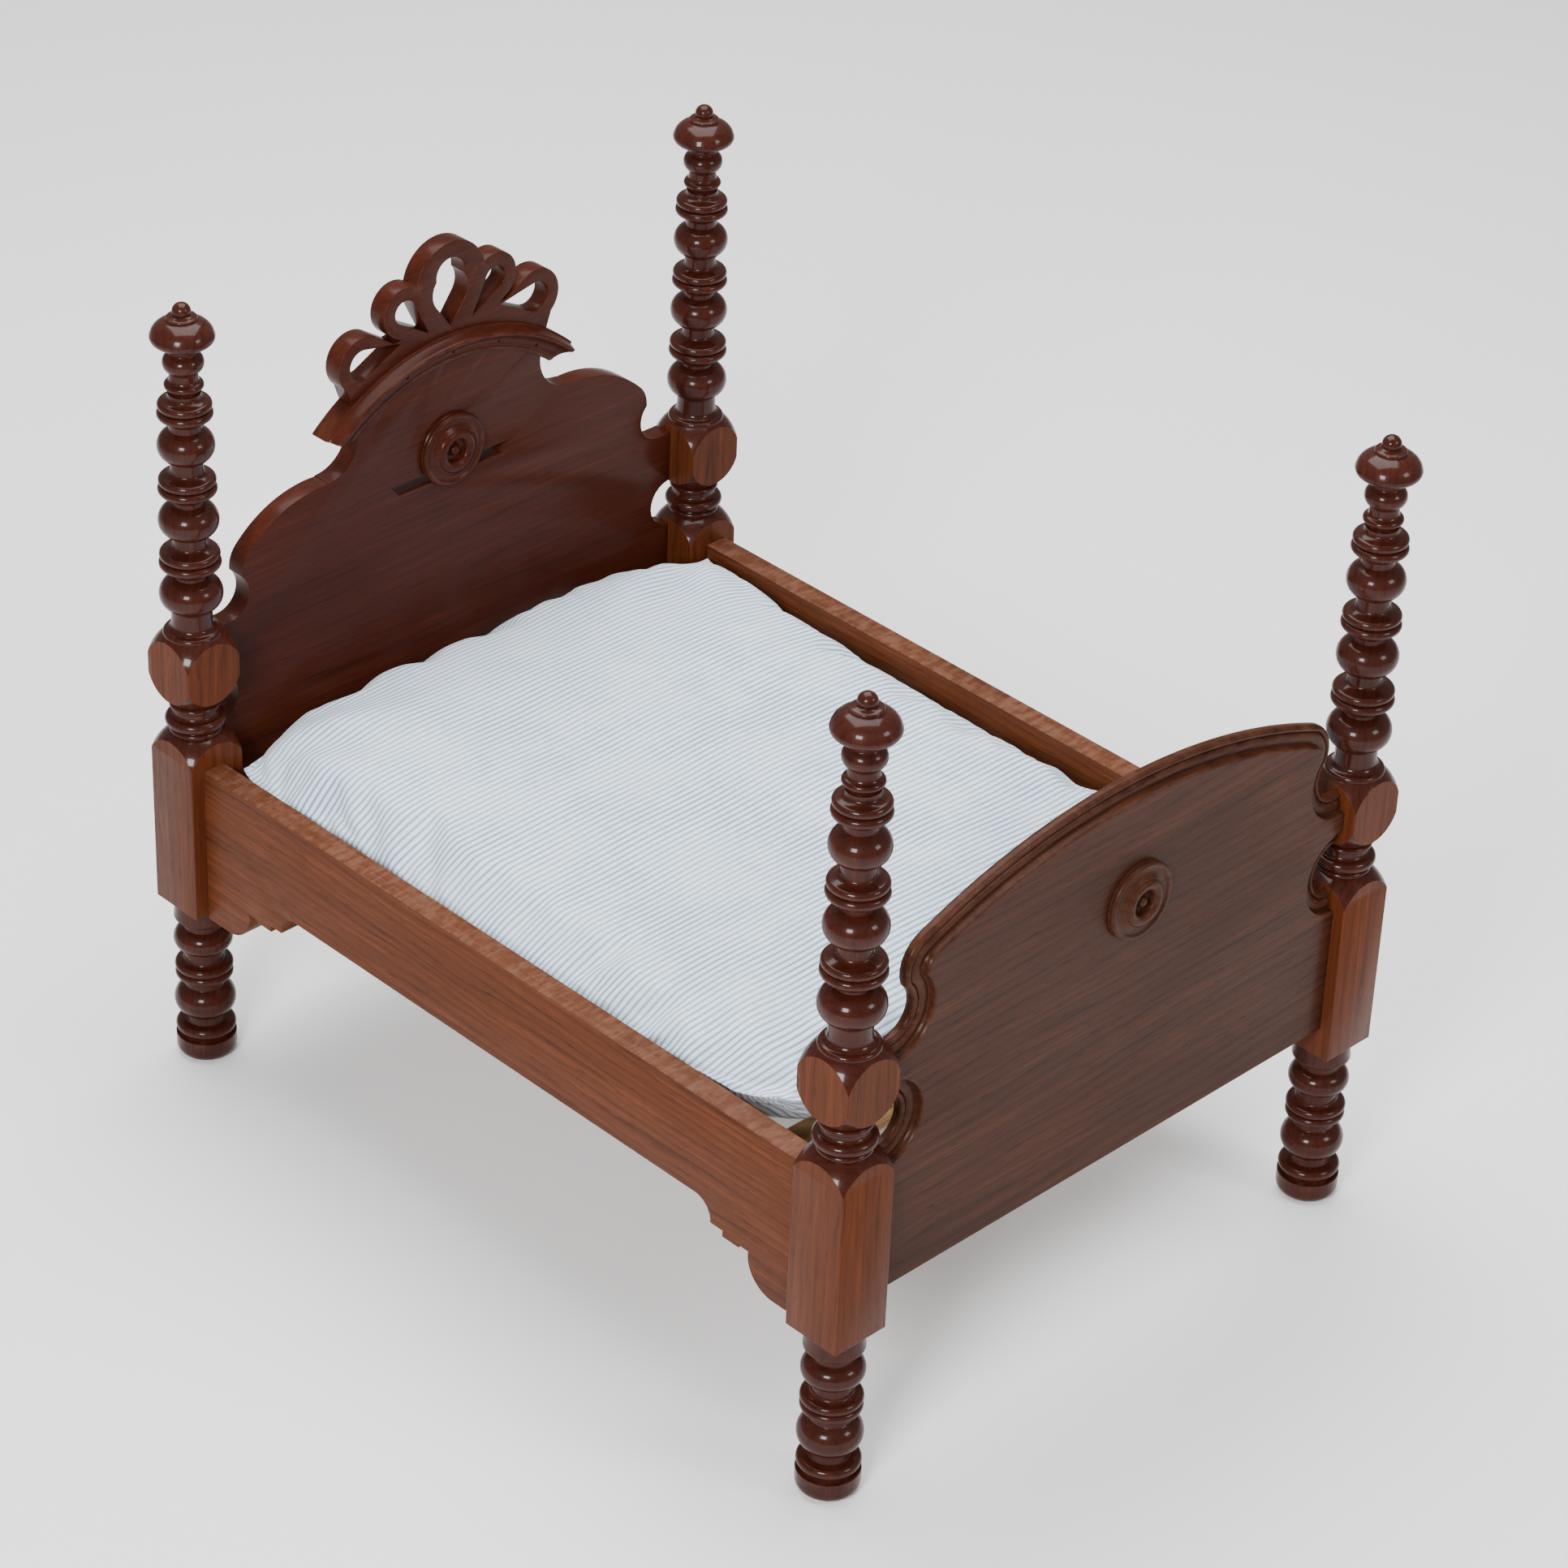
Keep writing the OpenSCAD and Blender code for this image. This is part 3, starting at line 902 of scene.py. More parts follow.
BARE_PINE = Wood(
    "bare_pine", (0.36, 0.21, 0.095), Grain.ACROSS_BED, contrast=0.8, figure=0.6, ring_density=30.0,
    roughness=0.62, coat=0.0, wear=0.2, worn=(0.42, 0.27, 0.14), pores=0.15, streaks=0.1,
)
LEDGER_PINE = replace(BARE_PINE, name="ledger_pine", grain=Grain.ALONG_BED)
BEECH = Wood(
    "bare_beech", (0.42, 0.25, 0.12), Grain.ALONG_BED, contrast=0.7, figure=0.2, roughness=0.55, coat=0.0,
    wear=0.2, worn=(0.5, 0.34, 0.18), pores=0.45, streaks=0.0,
)


# ---------------------------------------------------------------- posts


@dataclass(frozen=True)
class Bead:
    """A full-round bead of a turning, in millimetres."""

    height: float
    radius: float
    thick: float
    skirt: float = 2.4

    def radius_at(self, z: float) -> float:
        """Radius of the bead and of the slope beside it at a height.

        Args:
            z: The height.

        Returns:
            The radius.
        """
        half = self.thick / 2
        away = abs(z - self.height)
        if away <= half:
            return self.radius - half + math.sqrt(half * half - away * away)
        return self.radius - half - self.skirt * (away - half)


def rounded_max(a: float, b: float, fillet: float) -> float:
    """The larger of two radii, with a fillet where they meet.

    Args:
        a: One radius.
        b: The other radius.
        fillet: Size of the fillet.

    Returns:
        The radius.
    """
    close = max(fillet - abs(a - b), 0.0) / fillet
    return max(a, b) + close * close * fillet / 4


@dataclass
class TurnedPost:
    """A post with two square blocks and turned beads above, between and below them."""

    half_block: float = 23.75
    foot: float = 13.0
    foot_top: float = 21.0
    block_bottom: float = 152.0
    shoulder_z: float = 270.92
    shoulder_radius: float = 35.6
    upper_block_z: float = 357.0
    upper_block_radius: float = 34.2
    total: float = 650.0
    post_x: float = POST_X
    post_y: float = POST_Y
    rail_x: float = 252.75
    dowel_heights: tuple[float, float] = (175.0, 245.0)
    bore_radius: float = 4.05
    bore_length: float = 40.0
    leg: list[Bead] = field(default_factory=lambda: [
        Bead(138, 21, 8, 6), Bead(117, 22.4, 20), Bead(93, 22.1, 7), Bead(86, 22.0, 7),
        Bead(62, 23.3, 27), Bead(38, 22.8, 8, 6),
    ])
    collar: list[Bead] = field(default_factory=lambda: [
        Bead(297, 21.5, 5, 6), Bead(303, 19.5, 4.5, 6), Bead(311, 22.5, 9), Bead(324, 19, 4, 6),
        Bead(384.5, 21.6, 6, 1.6),
    ])

    def spindle_beads(self) -> list[Bead]:
        """Beads above the upper block: three balls, three pairs of rings and the finial.

        Returns:
            The beads.
        """
        beads = []
        for i in range(3):
            radius, z = 23.3 - 1.2 * i, 417 + 60.5 * i
            beads += [
                Bead(z, radius, 27 - i / 2), Bead(z + 25.5, radius - 0.6, 7, 1.7),
                Bead(z + 32.5, radius - 1.2, 7, 2.6),
            ]
        return beads + [Bead(586, 14.3, 5.5, 2.0), Bead(603.8, 15, 16)]

    def core_at(self, z: float) -> float:
        """Radius of the plain core between the beads.

        Args:
            z: The height.

        Returns:
            The radius.
        """
        for top, radius in ((30.5, 22.9), (35, 20.4), (137, 15), (154, 21), (340, 16), (417, 15), (580, 12)):
            if z <= top:
                under = max(self.foot_top - z, 0)
                return radius if not under else 14.9 + math.sqrt(max(64 - under * under, 0))
        return 10.5

    def profile(self) -> Profile:
        """Half profile of the whole turning, from the foot to the finial.

        Returns:
            Radius and height of each point, in metres.
        """
        groups = [self.leg, self.collar, self.spindle_beads()]
        beads = [bead for group in groups for bead in group]
        heights = {round(0.7 * i, 3) for i in range(int(616 / 0.7))}
        for bead in beads:
            half = bead.thick / 2
            heights |= {bead.height - half * math.cos(math.pi * i / 18) for i in range(19)}
            heights |= {bead.height + side * (half + 0.02) for side in (-1, 1)}
        for step in (30.5, 35, 137, 154, 580):
            heights |= {step - 0.01, step + 0.01}
        heights |= {self.foot_top - 8 * math.cos(math.pi * i / 16) for i in range(9)}
        line: Profile = [(0.0, self.foot), (14.9, self.foot)]
        for z in sorted(h for h in heights if self.foot + 0.05 < h < 616):
            outer = 0.0
            for bead in beads:
                outer = rounded_max(outer, bead.radius_at(z), 0.9)
            fillet = 3.6 if 160 < z < 600 else 2.2
            core = self.core_at(z)
            line.append((core if z < 30.4 else rounded_max(outer, core, fillet if z > 36 else 0.8), z))
        line = thin_out(line, 0.025)
        line += self.finial()
        return [(r * MM, z * MM) for r, z in line]

    def finial(self) -> Profile:
        """Half profile of the mushroom cap and its button.

        Returns:
            Radius and height of each point, in millimetres.
        """
        cap = [(10.6, 616.2), (11.2, 617.6), (14.5, 618.3), (18.4, 619.2)]
        cap += arc(18.3, 624.3, 5.0, -88, 30, 14)
        cap += [(22.1, 628.4), (20.6, 630.9), (18.3, 633.2), (15.4, 635.1), (12.7, 636.3), (11.4, 636.6)]
        cap += [(10.9, 637.1)] + arc(9.9, 638.3, 1.4, -50, 85, 6)
        cap += [(8.4, 640.0), (6.9, 640.4), (6.2, 641.0)]
        cap += [(6.9 * math.cos(t), 643.4 + 6.6 * math.sin(t)) for t in np.radians(np.linspace(-14, 86, 12))]
        return cap + [(0.0, self.total)]

    def blocks(self, name: str) -> list[bpy.types.Object]:
        """The two square blocks with their lathe-cut shoulders, on the axis.

        Args:
            name: The name of the post.

        Returns:
            The lower and the upper block.
        """
        h = self.half_block * MM
        reach = self.shoulder_radius
        drum = [(0, 150), (35.2, 150)] + arc(0, self.shoulder_z, reach, 0, 66, 30)
        drum += [(reach * math.cos(math.radians(66)), 306), (0, 306)]
        lower = block(
            name + "_lower", Vector((-h, -h, self.block_bottom * MM)), Vector((h, h, 0.305)), 0.8 * MM
        )
        carve(lower, turn("drum", [(r * MM, z * MM) for r, z in drum], steps=144), "INTERSECT")
        ball = arc(0, self.upper_block_z, self.upper_block_radius, -55, 55, 40)
        ball = [(0, ball[0][1])] + ball + [(0, ball[-1][1])]
        upper = block(name + "_upper", Vector((-h, -h, 0.32)), Vector((h, h, 0.395)), 0.8 * MM)
        carve(upper, turn("ball", [(r * MM, z * MM) for r, z in ball], steps=144), "INTERSECT")
        return [lower, upper]

    def shape(self) -> bpy.types.Object:
        """Makes one whole post on the axis.

        Returns:
            The post.
        """
        post = turn("post", self.profile(), steps=72)
        for part in self.blocks("block"):
            carve(post, part, "UNION")
        stand(post)
        return post

    def build(self) -> None:
        """Makes the four posts, bores them for the dowels and finishes them."""
        pattern = self.shape()
        ends = {"head": (1, "head_end"), "foot": (-1, "foot_end")}
        seed = 1
        for end, (sy, body) in ends.items():
            for side, sx in (("left", -1), ("right", 1)):
                post = copy_piece(pattern, f"turned_post_{end}_{side}")
                post.data.transform(Matrix.Translation((sx * self.post_x * MM, sy * self.post_y * MM, 0)))
                for z in self.dowel_heights:
                    face = sy * (self.post_y - self.half_block)
                    clear_selection()
                    bpy.ops.mesh.primitive_cylinder_add(
                        vertices=32, radius=self.bore_radius * MM, depth=self.bore_length * MM,
                        location=(sx * self.rail_x * MM, (face - sy * 1.0) * MM, z * MM - FLOOR_LINE),
                        rotation=(math.pi / 2, 0, 0),
                    )
                    bore = bpy.context.object
                    settle(bore)
                    carve(post, bore, "DIFFERENCE")
                close_up(post, 0.01 * MM)
                with editing(post):
                    bpy.ops.mesh.select_all(action="SELECT")
                    bpy.ops.mesh.dissolve_degenerate(threshold=0.01 * MM)
                    bpy.ops.mesh.select_all(action="SELECT")
                    bpy.ops.mesh.fill_holes(sides=8)
                smooth(post, 36)
                post.data.materials.append(POST_WOOD.mix(seed))
                hand_over(post, body, "post_wood", f"post_{end}_{side}")
                seed += 1
        bpy.data.meshes.remove(pattern.data)


# ---------------------------------------------------------------- boards


@dataclass
class Rosette:
    """A turned rosette with a small button in its eye."""

    name: str
    node: str
    button_node: str
    body: str
    slot: str
    place: Place
    finish: Wood
    seed: int

    def build(self) -> None:
        """Turns the rosette and its button and finishes them."""
        x, y, z = (c * MM for c in self.place)
        ring: Profile = [(0, 0), (29.2, 0)]
        ring += arc(27.1, 2.6, 2.6, -50, 92, 12)
        ring += [(25.9, 4.9), (25.3, 4.3), (24.4, 3.95), (22.6, 4.0), (20.6, 4.9), (19.0, 6.2), (17.9, 6.9)]
        ring += arc(13.7, 4.6, 4.4, 28, 158, 16)
        ring += [(9.7, 5.2), (9.5, 3.6), (9.1, 2.3), (8.2, 1.9), (0, 1.8)]
        rosette = turn(
            self.name, [(r * MM, -(d + 0.05) * MM) for r, d in ring], Facing.OUTWARD, (x, y, z), 80
        )
        stand(rosette)
        smooth(rosette, 40)
        rosette.data.materials.append(self.finish.mix(self.seed))
        hand_over(rosette, self.body, self.slot, self.node)
        knob: Profile = [(0, 1.9), (5.4, 1.9), (5.5, 2.6), (4.9, 3.0)]
        knob += [(4.25 * math.cos(t), 3.4 + 3.7 * math.sin(t)) for t in np.radians(np.linspace(5, 84, 10))]
        knob += [(0, 7.15)]
        button = turn(
            self.name + "_eye", [(r * MM, -d * MM) for r, d in knob], Facing.OUTWARD, (x, y, z), 40
        )
        stand(button)
        smooth(button, 40)
        button.data.materials.append(self.finish.mix(self.seed + 1))
        hand_over(button, self.body, self.slot, self.button_node)


@dataclass
class Footboard:
    """The arched footboard with a moulding run along its shaped edges."""

    face_y: float = -352.0
    thick: float = 13.0
    bottom: float = 177.0
    half_width: float = 225.8
    arch_top: float = 484.5
    arch_radius: float = 500.0
    bump_x: float = 209.0
    bump_radius: float = 27.0
    cove: tuple[float, float] = (221.0, 397.0)
    notch: tuple[float, float] = (226.85, 313.5)
    round_radius: float = 20.0
    section: list[tuple[float, float]] = field(default_factory=lambda: [
        (0.0, 8.6), (0.5, 7.3), (1.3, 6.3), (2.5, 5.7), (3.7, 5.8), (4.5, 6.5), (4.9, 7.3), (5.3, 6.4),
        (6.1, 5.5), (7.6, 4.9), (9.6, 4.7), (11.6, 5.0), (12.8, 5.2), (13.4, 4.4), (13.9, 2.6), (14.2, 1.1),
        (14.7, 0.3), (15.5, 0.0),
    ])

    def right_edge(self, inset: float) -> Profile:
        """The shaped edge of the right half, from the bottom to the top of the arch.

        Args:
            inset: How far inside the sawn edge the line runs, in millimetres.

        Returns:
            Points in X and Z, in millimetres.
        """
        wide = self.half_width + 40 - inset
        low = self.bottom - 40 + inset
        r = self.round_radius + inset
        bump = self.bump_radius - inset
        arch = self.arch_radius - inset
        line = [(wide, low), (wide, self.notch[1] - r)]
        line += arc(*self.notch, r, 270, 90, 40)
        line += [(wide, self.notch[1] + r), (wide, self.cove[1] - r)]
        arch_z = self.arch_top - self.arch_radius
        bx = self.bump_x - self.bump_radius
        bz = arch_z + math.sqrt((arch - bump) ** 2 - bx * bx)
        # where the cove runs into the bump
        cx, cz = self.cove
        gap = math.hypot(bx - cx, bz - cz)
        reach = (gap * gap + r * r - bump * bump) / (2 * gap)
        lift = math.sqrt(max(r * r - reach * reach, 0))
        ux, uz = (bx - cx) / gap, (bz - cz) / gap
        meets = [(cx + ux * reach - side * uz * lift, cz + uz * reach + side * ux * lift) for side in (-1, 1)]
        meet = max(meets, key=lambda place: place[1])
        stop = math.degrees(math.atan2(meet[1] - cz, meet[0] - cx)) % 360
        line += arc(cx, cz, r, 270, stop, 44)
        start = math.degrees(math.atan2(meet[1] - bz, meet[0] - bx))
        tangent = math.degrees(math.atan2(bz - arch_z, bx))
        line += arc(bx, bz, bump, start, tangent, 24)[1:]
        line += arc(0, arch_z, arch, tangent, 90, 46)[1:]
        return line

    def outline(self, inset: float) -> Profile:
        """The shaped edge of the whole board.

        Args:
            inset: How far inside the sawn edge the line runs, in millimetres.

        Returns:
            Points in X and Z, in millimetres.
        """
        right = self.right_edge(inset)
        return right + [(-x, z) for x, z in reversed(right[:-1])]

    def step_in(self, board: bpy.types.Object, before: float, after: float, depth: float) -> None:
        """Runs one step of the moulding round the face that is selected.

        Args:
            board: The board, open in edit mode.
            before: Where the face's rim is now, inside the sawn edge, in millimetres.
            after: Where the new rim goes.
            depth: How far the new rim lies behind the front of the board.
        """
        bpy.ops.mesh.inset(thickness=0.003 * MM, depth=0, use_even_offset=True)
        old, new = self.outline(before), self.outline(after)
        shell = bmesh.from_edit_mesh(board.data)
        face = next(f for f in shell.faces if f.select)
        for point in face.verts:
            x, z = point.co.x / MM, point.co.z / MM
            nearest = min(range(len(old)), key=lambda n: (old[n][0] - x) ** 2 + (old[n][1] - z) ** 2)
            point.co = Vector((new[nearest][0], self.face_y + depth, new[nearest][1])) * MM
        bmesh.update_edit_mesh(board.data)

    def shape(self) -> bpy.types.Object:
        """Makes the board: an outline, its thickness, the run of mouldings, then cut to length.

        Returns:
            The board.
        """
        rim_y = self.face_y + self.section[0][1]
        places = [(x * MM, rim_y * MM, z * MM) for x, z in self.outline(0.0)]
        board = start_point("moulded_footboard", places[0])
        draw_line(board, places)
        back = self.face_y + self.thick
        with editing(board):
            bpy.ops.mesh.select_all(action="SELECT")
            bpy.ops.mesh.edge_face_add()
        with editing(board, Pick.FACES):
            bpy.ops.mesh.select_all(action="SELECT")
            bpy.ops.mesh.extrude_region_move(
                TRANSFORM_OT_translate={"value": (0, (back - 0.7 - rim_y) * MM, 0)}
            )
            bpy.ops.mesh.select_all(action="SELECT")
            bpy.ops.mesh.normals_make_consistent(inside=False)
            pick_faces(board, lambda middle, normal: normal.y > 0.9)
            back_steps = [(0.0, -1.0), (0.25, 12.75), (0.8, 13.0), (1.7, 13.0)]
            for (p, _), (p2, d2) in zip(back_steps, back_steps[1:]):
                self.step_in(board, p, p2, d2)
            pick_faces(board, lambda middle, normal: normal.y < -0.9)
            steps = [*self.section, (self.section[-1][0] + 1.0, 0.0)]
            for (p, _), (p2, d2) in zip(steps, steps[1:]):
                self.step_in(board, p, p2, d2)
        low = Vector((-self.half_width, self.face_y - 10, self.bottom)) * MM
        high = Vector((self.half_width, self.face_y + 30, self.arch_top + 20)) * MM
        carve(board, block("saw_cuts", low, high), "INTERSECT")
        close_up(board, 0.004 * MM)
        stand(board)
        smooth(board, 30)
        return board

    def build(self) -> None:
        """Makes and finishes the footboard and its rosette."""
        board = self.shape()
        board.data.materials.append(FOOT_WOOD.mix(5))
        hand_over(board, "foot_end", "footboard_wood", "footboard_panel")
        Rosette(
            "footboard_rosette_turned", "footboard_rosette", "footboard_button", "foot_end", "footboard_wood",
            (8.0, self.face_y, 388.0), FOOT_WOOD, 11,
        ).build()


@dataclass
class Headboard:
    """The scrolled headboard with its arched moulding, pierced crest and rosette."""

    face_y: float = 341.0
    centre_z: float = 364.0
    rosette_z: float = 443.5
    brad_radius: float = 161.5
    brad_angles: tuple[float, ...] = (-30.5, -16.0, 0.0, 16.0, 30.5)
    section: list[tuple[float, float]] = field(default_factory=lambda: [
        (154.0, 0.05), (154.0, 1.5), (154.5, 2.2), (155.6, 2.6), (156.9, 2.5), (157.8, 2.0), (158.2, 2.4),
        (159.4, 2.5), (161.4, 2.9), (163.4, 3.8), (165.2, 5.2), (166.8, 7.0), (167.6, 8.4), (167.9, 9.3),
        (168.3, 9.9), (169.4, 10.0), (170.4, 9.7), (171.0, 9.0), (171.6, 7.6), (173.2, 2.2), (174.2, 0.8),
        (175.5, 0.0), (175.5, -16.0), (164.0, -16.0), (164.0, 0.05),
    ])

    def moulding(self) -> bpy.types.Object:
        """Spins the moulding's section over the arch and saws its ends.

        Returns:
            The moulding.
        """
        centre = (0.0, self.face_y * MM, self.centre_z * MM)
        reach = math.radians(72)
        places = []
        for radius, out in self.section + self.section[:1]:
            flat = Vector((math.sin(-reach) * radius, -out, math.cos(reach) * radius)) * MM
            places.append(tuple(Vector(centre) + flat))
        piece = start_point("arched_crest_moulding", places[0])
        draw_line(piece, places)
        with editing(piece):
            bpy.ops.mesh.select_all(action="SELECT")
            bpy.ops.mesh.remove_doubles(threshold=0.001 * MM)
            bpy.ops.mesh.select_all(action="SELECT")
            bpy.ops.mesh.spin(steps=110, angle=-2 * reach, center=centre, axis=(0, 1, 0))
        rise = math.atan2(16, 56)
        for side in (-1, 1):
            with editing(piece):
                bpy.ops.mesh.select_all(action="SELECT")
                bpy.ops.mesh.bisect(
                    plane_co=(side * 94 * MM, 0, 484 * MM),
                    plane_no=(side * math.sin(rise), 0, -math.cos(rise)),
                    use_fill=True, clear_outer=True,
                )
        close_up(piece, 0.004 * MM)
        ease(piece, 0.25 * MM, 2, 50)
        self.bore_brads(piece)
        stand(piece)
        smooth(piece, 34)
        return piece

    def bore_brads(self, piece: bpy.types.Object) -> None:
        """Sinks the holes that the brads sit in.

        Args:
            piece: The moulding.
        """
        drill: Profile = [(0, -20), (0.85, -20), (0.85, 0.75), (1.38, 0.75), (1.38, 8), (0, 8)]
        for angle in self.brad_angles:
            turned = math.radians(angle)
            place = (self.brad_radius * math.sin(turned) * MM, self.face_y * MM,
                     (self.centre_z + self.brad_radius * math.cos(turned)) * MM)
            bore = turn("bore", [(r * MM, -d * MM) for r, d in drill], Facing.OUTWARD, place, 20)
            carve(piece, bore, "DIFFERENCE")

    def build(self) -> None:
        """Makes and finishes every piece of the headboard."""
        panel = from_stock("headboard_panel", "scrolled_headboard", 0.9 * MM)
        panel.data.materials.append(HEAD_WOOD.mix(7))
        hand_over(panel, "head_end", "headboard_wood", "headboard_panel")
        arch = self.moulding()
        arch.data.materials.append(HEAD_WOOD.mix(8))
        hand_over(arch, "head_end", "headboard_wood", "crest_moulding")
        crest = from_stock("pierced_crest", "pierced_loop_crest", 0.7 * MM, pierced=True)
        crest.data.materials.append(HEAD_WOOD.mix(9))
        hand_over(crest, "head_end", "headboard_wood", "pierced_crest")
        Rosette(
            "headboard_rosette_turned", "headboard_rosette", "headboard_button", "head_end", "headboard_wood",
            (0.0, self.face_y, self.rosette_z), HEAD_WOOD, 13,
        ).build()


# ---------------------------------------------------------------- base


@dataclass
class SlattedBase:
    """The two side rails, their ledgers and the slats."""

    slats: int = 7

    def build(self) -> None:
        """Makes and finishes the rails, ledgers, slats and their fastenings."""
        for n, side in enumerate(("left", "right")):
            rail = from_stock(f"rail_{side}", f"bracketed_rail_{side}", 1.1 * MM)
            rail.data.materials.append(RAIL_WOOD.mix(20 + 3 * n))
            hand_over(rail, "side_frame", "rail_wood", f"rail_{side}")
            ledger = from_stock(f"ledger_{side}", f"planed_ledger_{side}", 0.6 * MM, 2)
            ledger.data.materials.append(LEDGER_PINE.mix(30 + n))
            hand_over(ledger, "side_frame", "base_wood", f"ledger_{side}")
        for n in range(1, self.slats + 1):
            slat = from_stock(f"slat_{n}", f"planed_slat_{n}", 0.7 * MM, 2)
            slat.data.materials.append(BARE_PINE.mix(40 + n))
            hand_over(slat, "side_frame", "base_wood", f"slat_{n}")
        steel = Steel().mix()
        for node in ("crest_brads", "ledger_screws", "slat_nails"):
            self.dress(node, steel)
        self.dress("dowels_head", BEECH.mix(50))
        self.dress("dowels_foot", BEECH.mix(51))

    def dress(self, node: str, material: bpy.types.Material) -> None:
        """Gives a shape of the frame its finish.

        Args:
            node: The name of the shape.
            material: Its finish.
        """
        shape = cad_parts[node]
        shape.data.materials.clear()
        shape.data.materials.append(material)
        LOG.info("%s keeps its shape and gets %s", node, material.name)


# ---------------------------------------------------------------- mattress


@dataclass
class Mattress:
    """A loosely stuffed bag of striped ticking."""

    half_width: float = 235.0
    foot_y: float = -260.0
    head_y: float = 331.0
    bottom: float = 222.9
    columns: int = 84
    rows: int = 104
    room_top: float = 312.0
    room_y: tuple[float, float] = (-269.0, 331.6)
    room_half_width: float = 241.5
    taper_from: float = 300.0
    taper: float = 1.3

    def seam_height(self, v: float, u: float) -> float:
        """Height of the seam round the edge.

        Args:
            v: From -1 at the foot to 1 at the head.
            u: From -1 on the left to 1 on the right.

        Returns:
            The height in millimetres.
        """
        head = max(v, 0.0) ** 4
        height = 261.0 + 6.0 * (0.5 + 0.5 * v) ** 2 + head * (8.0 - 16.0 * u * u)
        corner = (abs(u) * abs(v)) ** 7
        return height + (10.0 * corner if v < 0 else 17.0 * corner)

    def plan(self, u: float, v: float) -> tuple[float, float]:
        """Place of a point of the cloth seen from above.

        Args:
            u: From -1 on the left to 1 on the right.
            v: From -1 at the foot to 1 at the head.

        Returns:
            X and Y in millimetres.
        """
        middle = (self.foot_y + self.head_y) / 2
        length = (self.head_y - self.foot_y) / 2
        corner = (abs(u) * abs(v)) ** 5
        pull_x = 3.0 * (1 - abs(v) ** 3) * abs(u) ** 3
        # the foot corners are blunt, the head corners run out to ears
        if v < 0:
            x = u * (self.half_width - pull_x - 20.0 * corner)
            y = middle + v * (length - 2.0 - 16.0 * corner)
        else:
            x = u * (self.half_width - pull_x - 1.0 * corner)
            y = middle + v * (length - 28.0 * (abs(u) * abs(v)) ** 4)
        return x, y

    def crown(self, u: float, v: float) -> float:
        """Height of the stuffing above the seam, as a part of its height in the middle.

        Args:
            u: From -1 on the left to 1 on the right.
            v: From -1 at the foot to 1 at the head.

        Returns:
            A value from 0 at the seam to 1.
        """
        across = max(1 - abs(u) ** 4.5, 0.0) ** 0.5
        along = max(1 - abs(v) ** 7, 0.0) ** 0.5
        return across * along

    def top_height(self, u: float, v: float) -> float:
        """Height of the top of the mattress at the middle of its crown.

        Args:
            u: From -1 on the left to 1 on the right.
            v: From -1 at the foot to 1 at the head.

        Returns:
            The height in millimetres.
        """
        t = 0.5 + 0.5 * v
        plump = 284.0 + 19.0 * t**1.2
        wave = 1.6 * math.sin(5.1 * v + 1.2 * u) + 1.3 * math.sin(4.3 * u - 2.2 * v + 0.7)
        wave += 0.9 * math.sin(9.7 * v + 3.1 * u + 2.0) + 0.7 * math.sin(11.3 * u + 4.0 * v)
        return plump + wave

    def folds(self, u: float, v: float) -> float:
        """Depth of the tension folds that run in from the corners.

        Args:
            u: From -1 on the left to 1 on the right.
            v: From -1 at the foot to 1 at the head.

        Returns:
            Height in millimetres, up or down.
        """
        total = 0.0
        for su in (-1, 1):
            for sv, depth in ((1, 2.6), (-1, 1.6)):
                du, dv = (1 - su * u) * 0.81, (1 - sv * v)
                away = math.hypot(du, dv)
                angle = math.atan2(dv, du + 1e-6)
                near = math.exp(-((away - 0.28) / 0.24) ** 2)
                total += depth * near * math.sin(angle * 11 + su + 2.0 * sv)
        return total

    def cloth(self) -> bpy.types.Object:
        """Makes the closed bag as two sheets of cloth that meet at the seam.

        Returns:
            The bag, with the cloth's own measure as its UV map.
        """
        nu, nv = self.columns, self.rows
        us = [self.spread(i / nu) for i in range(nu + 1)]
        vs = [self.spread(j / nv) for j in range(nv + 1)]
        points: list[Place] = []
        index: GridIndex = {}
        for face in (0, 1):
            for i, u in enumerate(us):
                for j, v in enumerate(vs):
                    rim = i in (0, nu) or j in (0, nv)
                    if face and rim:
                        index[1, i, j] = index[0, i, j]
                        continue
                    x, y = self.plan(u, v)
                    seam = self.seam_height(v, u)
                    crown = self.crown(u, v)
                    if face == 0:
                        rise = (self.top_height(u, v) - seam) * crown
                        z = seam + rise + self.folds(u, v) * min(crown * 1.5, 1)
                    else:
                        z = seam + (self.bottom - seam) * min(crown * 1.12, 1.0)
                    index[face, i, j] = len(points)
                    points.append((x * MM, y * MM, z * MM))
        faces = []
        for face in (0, 1):
            for i in range(nu):
                for j in range(nv):
                    faces.append([index[face, a, b] for a, b in self.corners(face, i, j)])
        mesh = bpy.data.meshes.new("stuffed_mattress")
        mesh.from_pydata(points, [], faces)
        self.lay_out(mesh, index)
        bag = bpy.data.objects.new("stuffed_mattress", mesh)
        bpy.context.scene.collection.objects.link(bag)
        edge = [(i, j) for i in range(nu + 1) for j in range(nv + 1) if i in (0, nu) or j in (0, nv)]
        group = bag.vertex_groups.new(name="seam")
        group.add([index[0, i, j] for i, j in edge], 1.0, "REPLACE")
        return bag

    def corners(self, face: int, i: int, j: int) -> list[tuple[int, int]]:
        """Corners of one cell of the grid, in the order that turns its face outwards.

        Args:
            face: 0 for the upper sheet of cloth and 1 for the lower one.
            i: Its column.
            j: Its row.

        Returns:
            Column and row of each corner.
        """
        loop = [(i, j), (i + 1, j), (i + 1, j + 1), (i, j + 1)]
        return loop[::-1] if face else loop

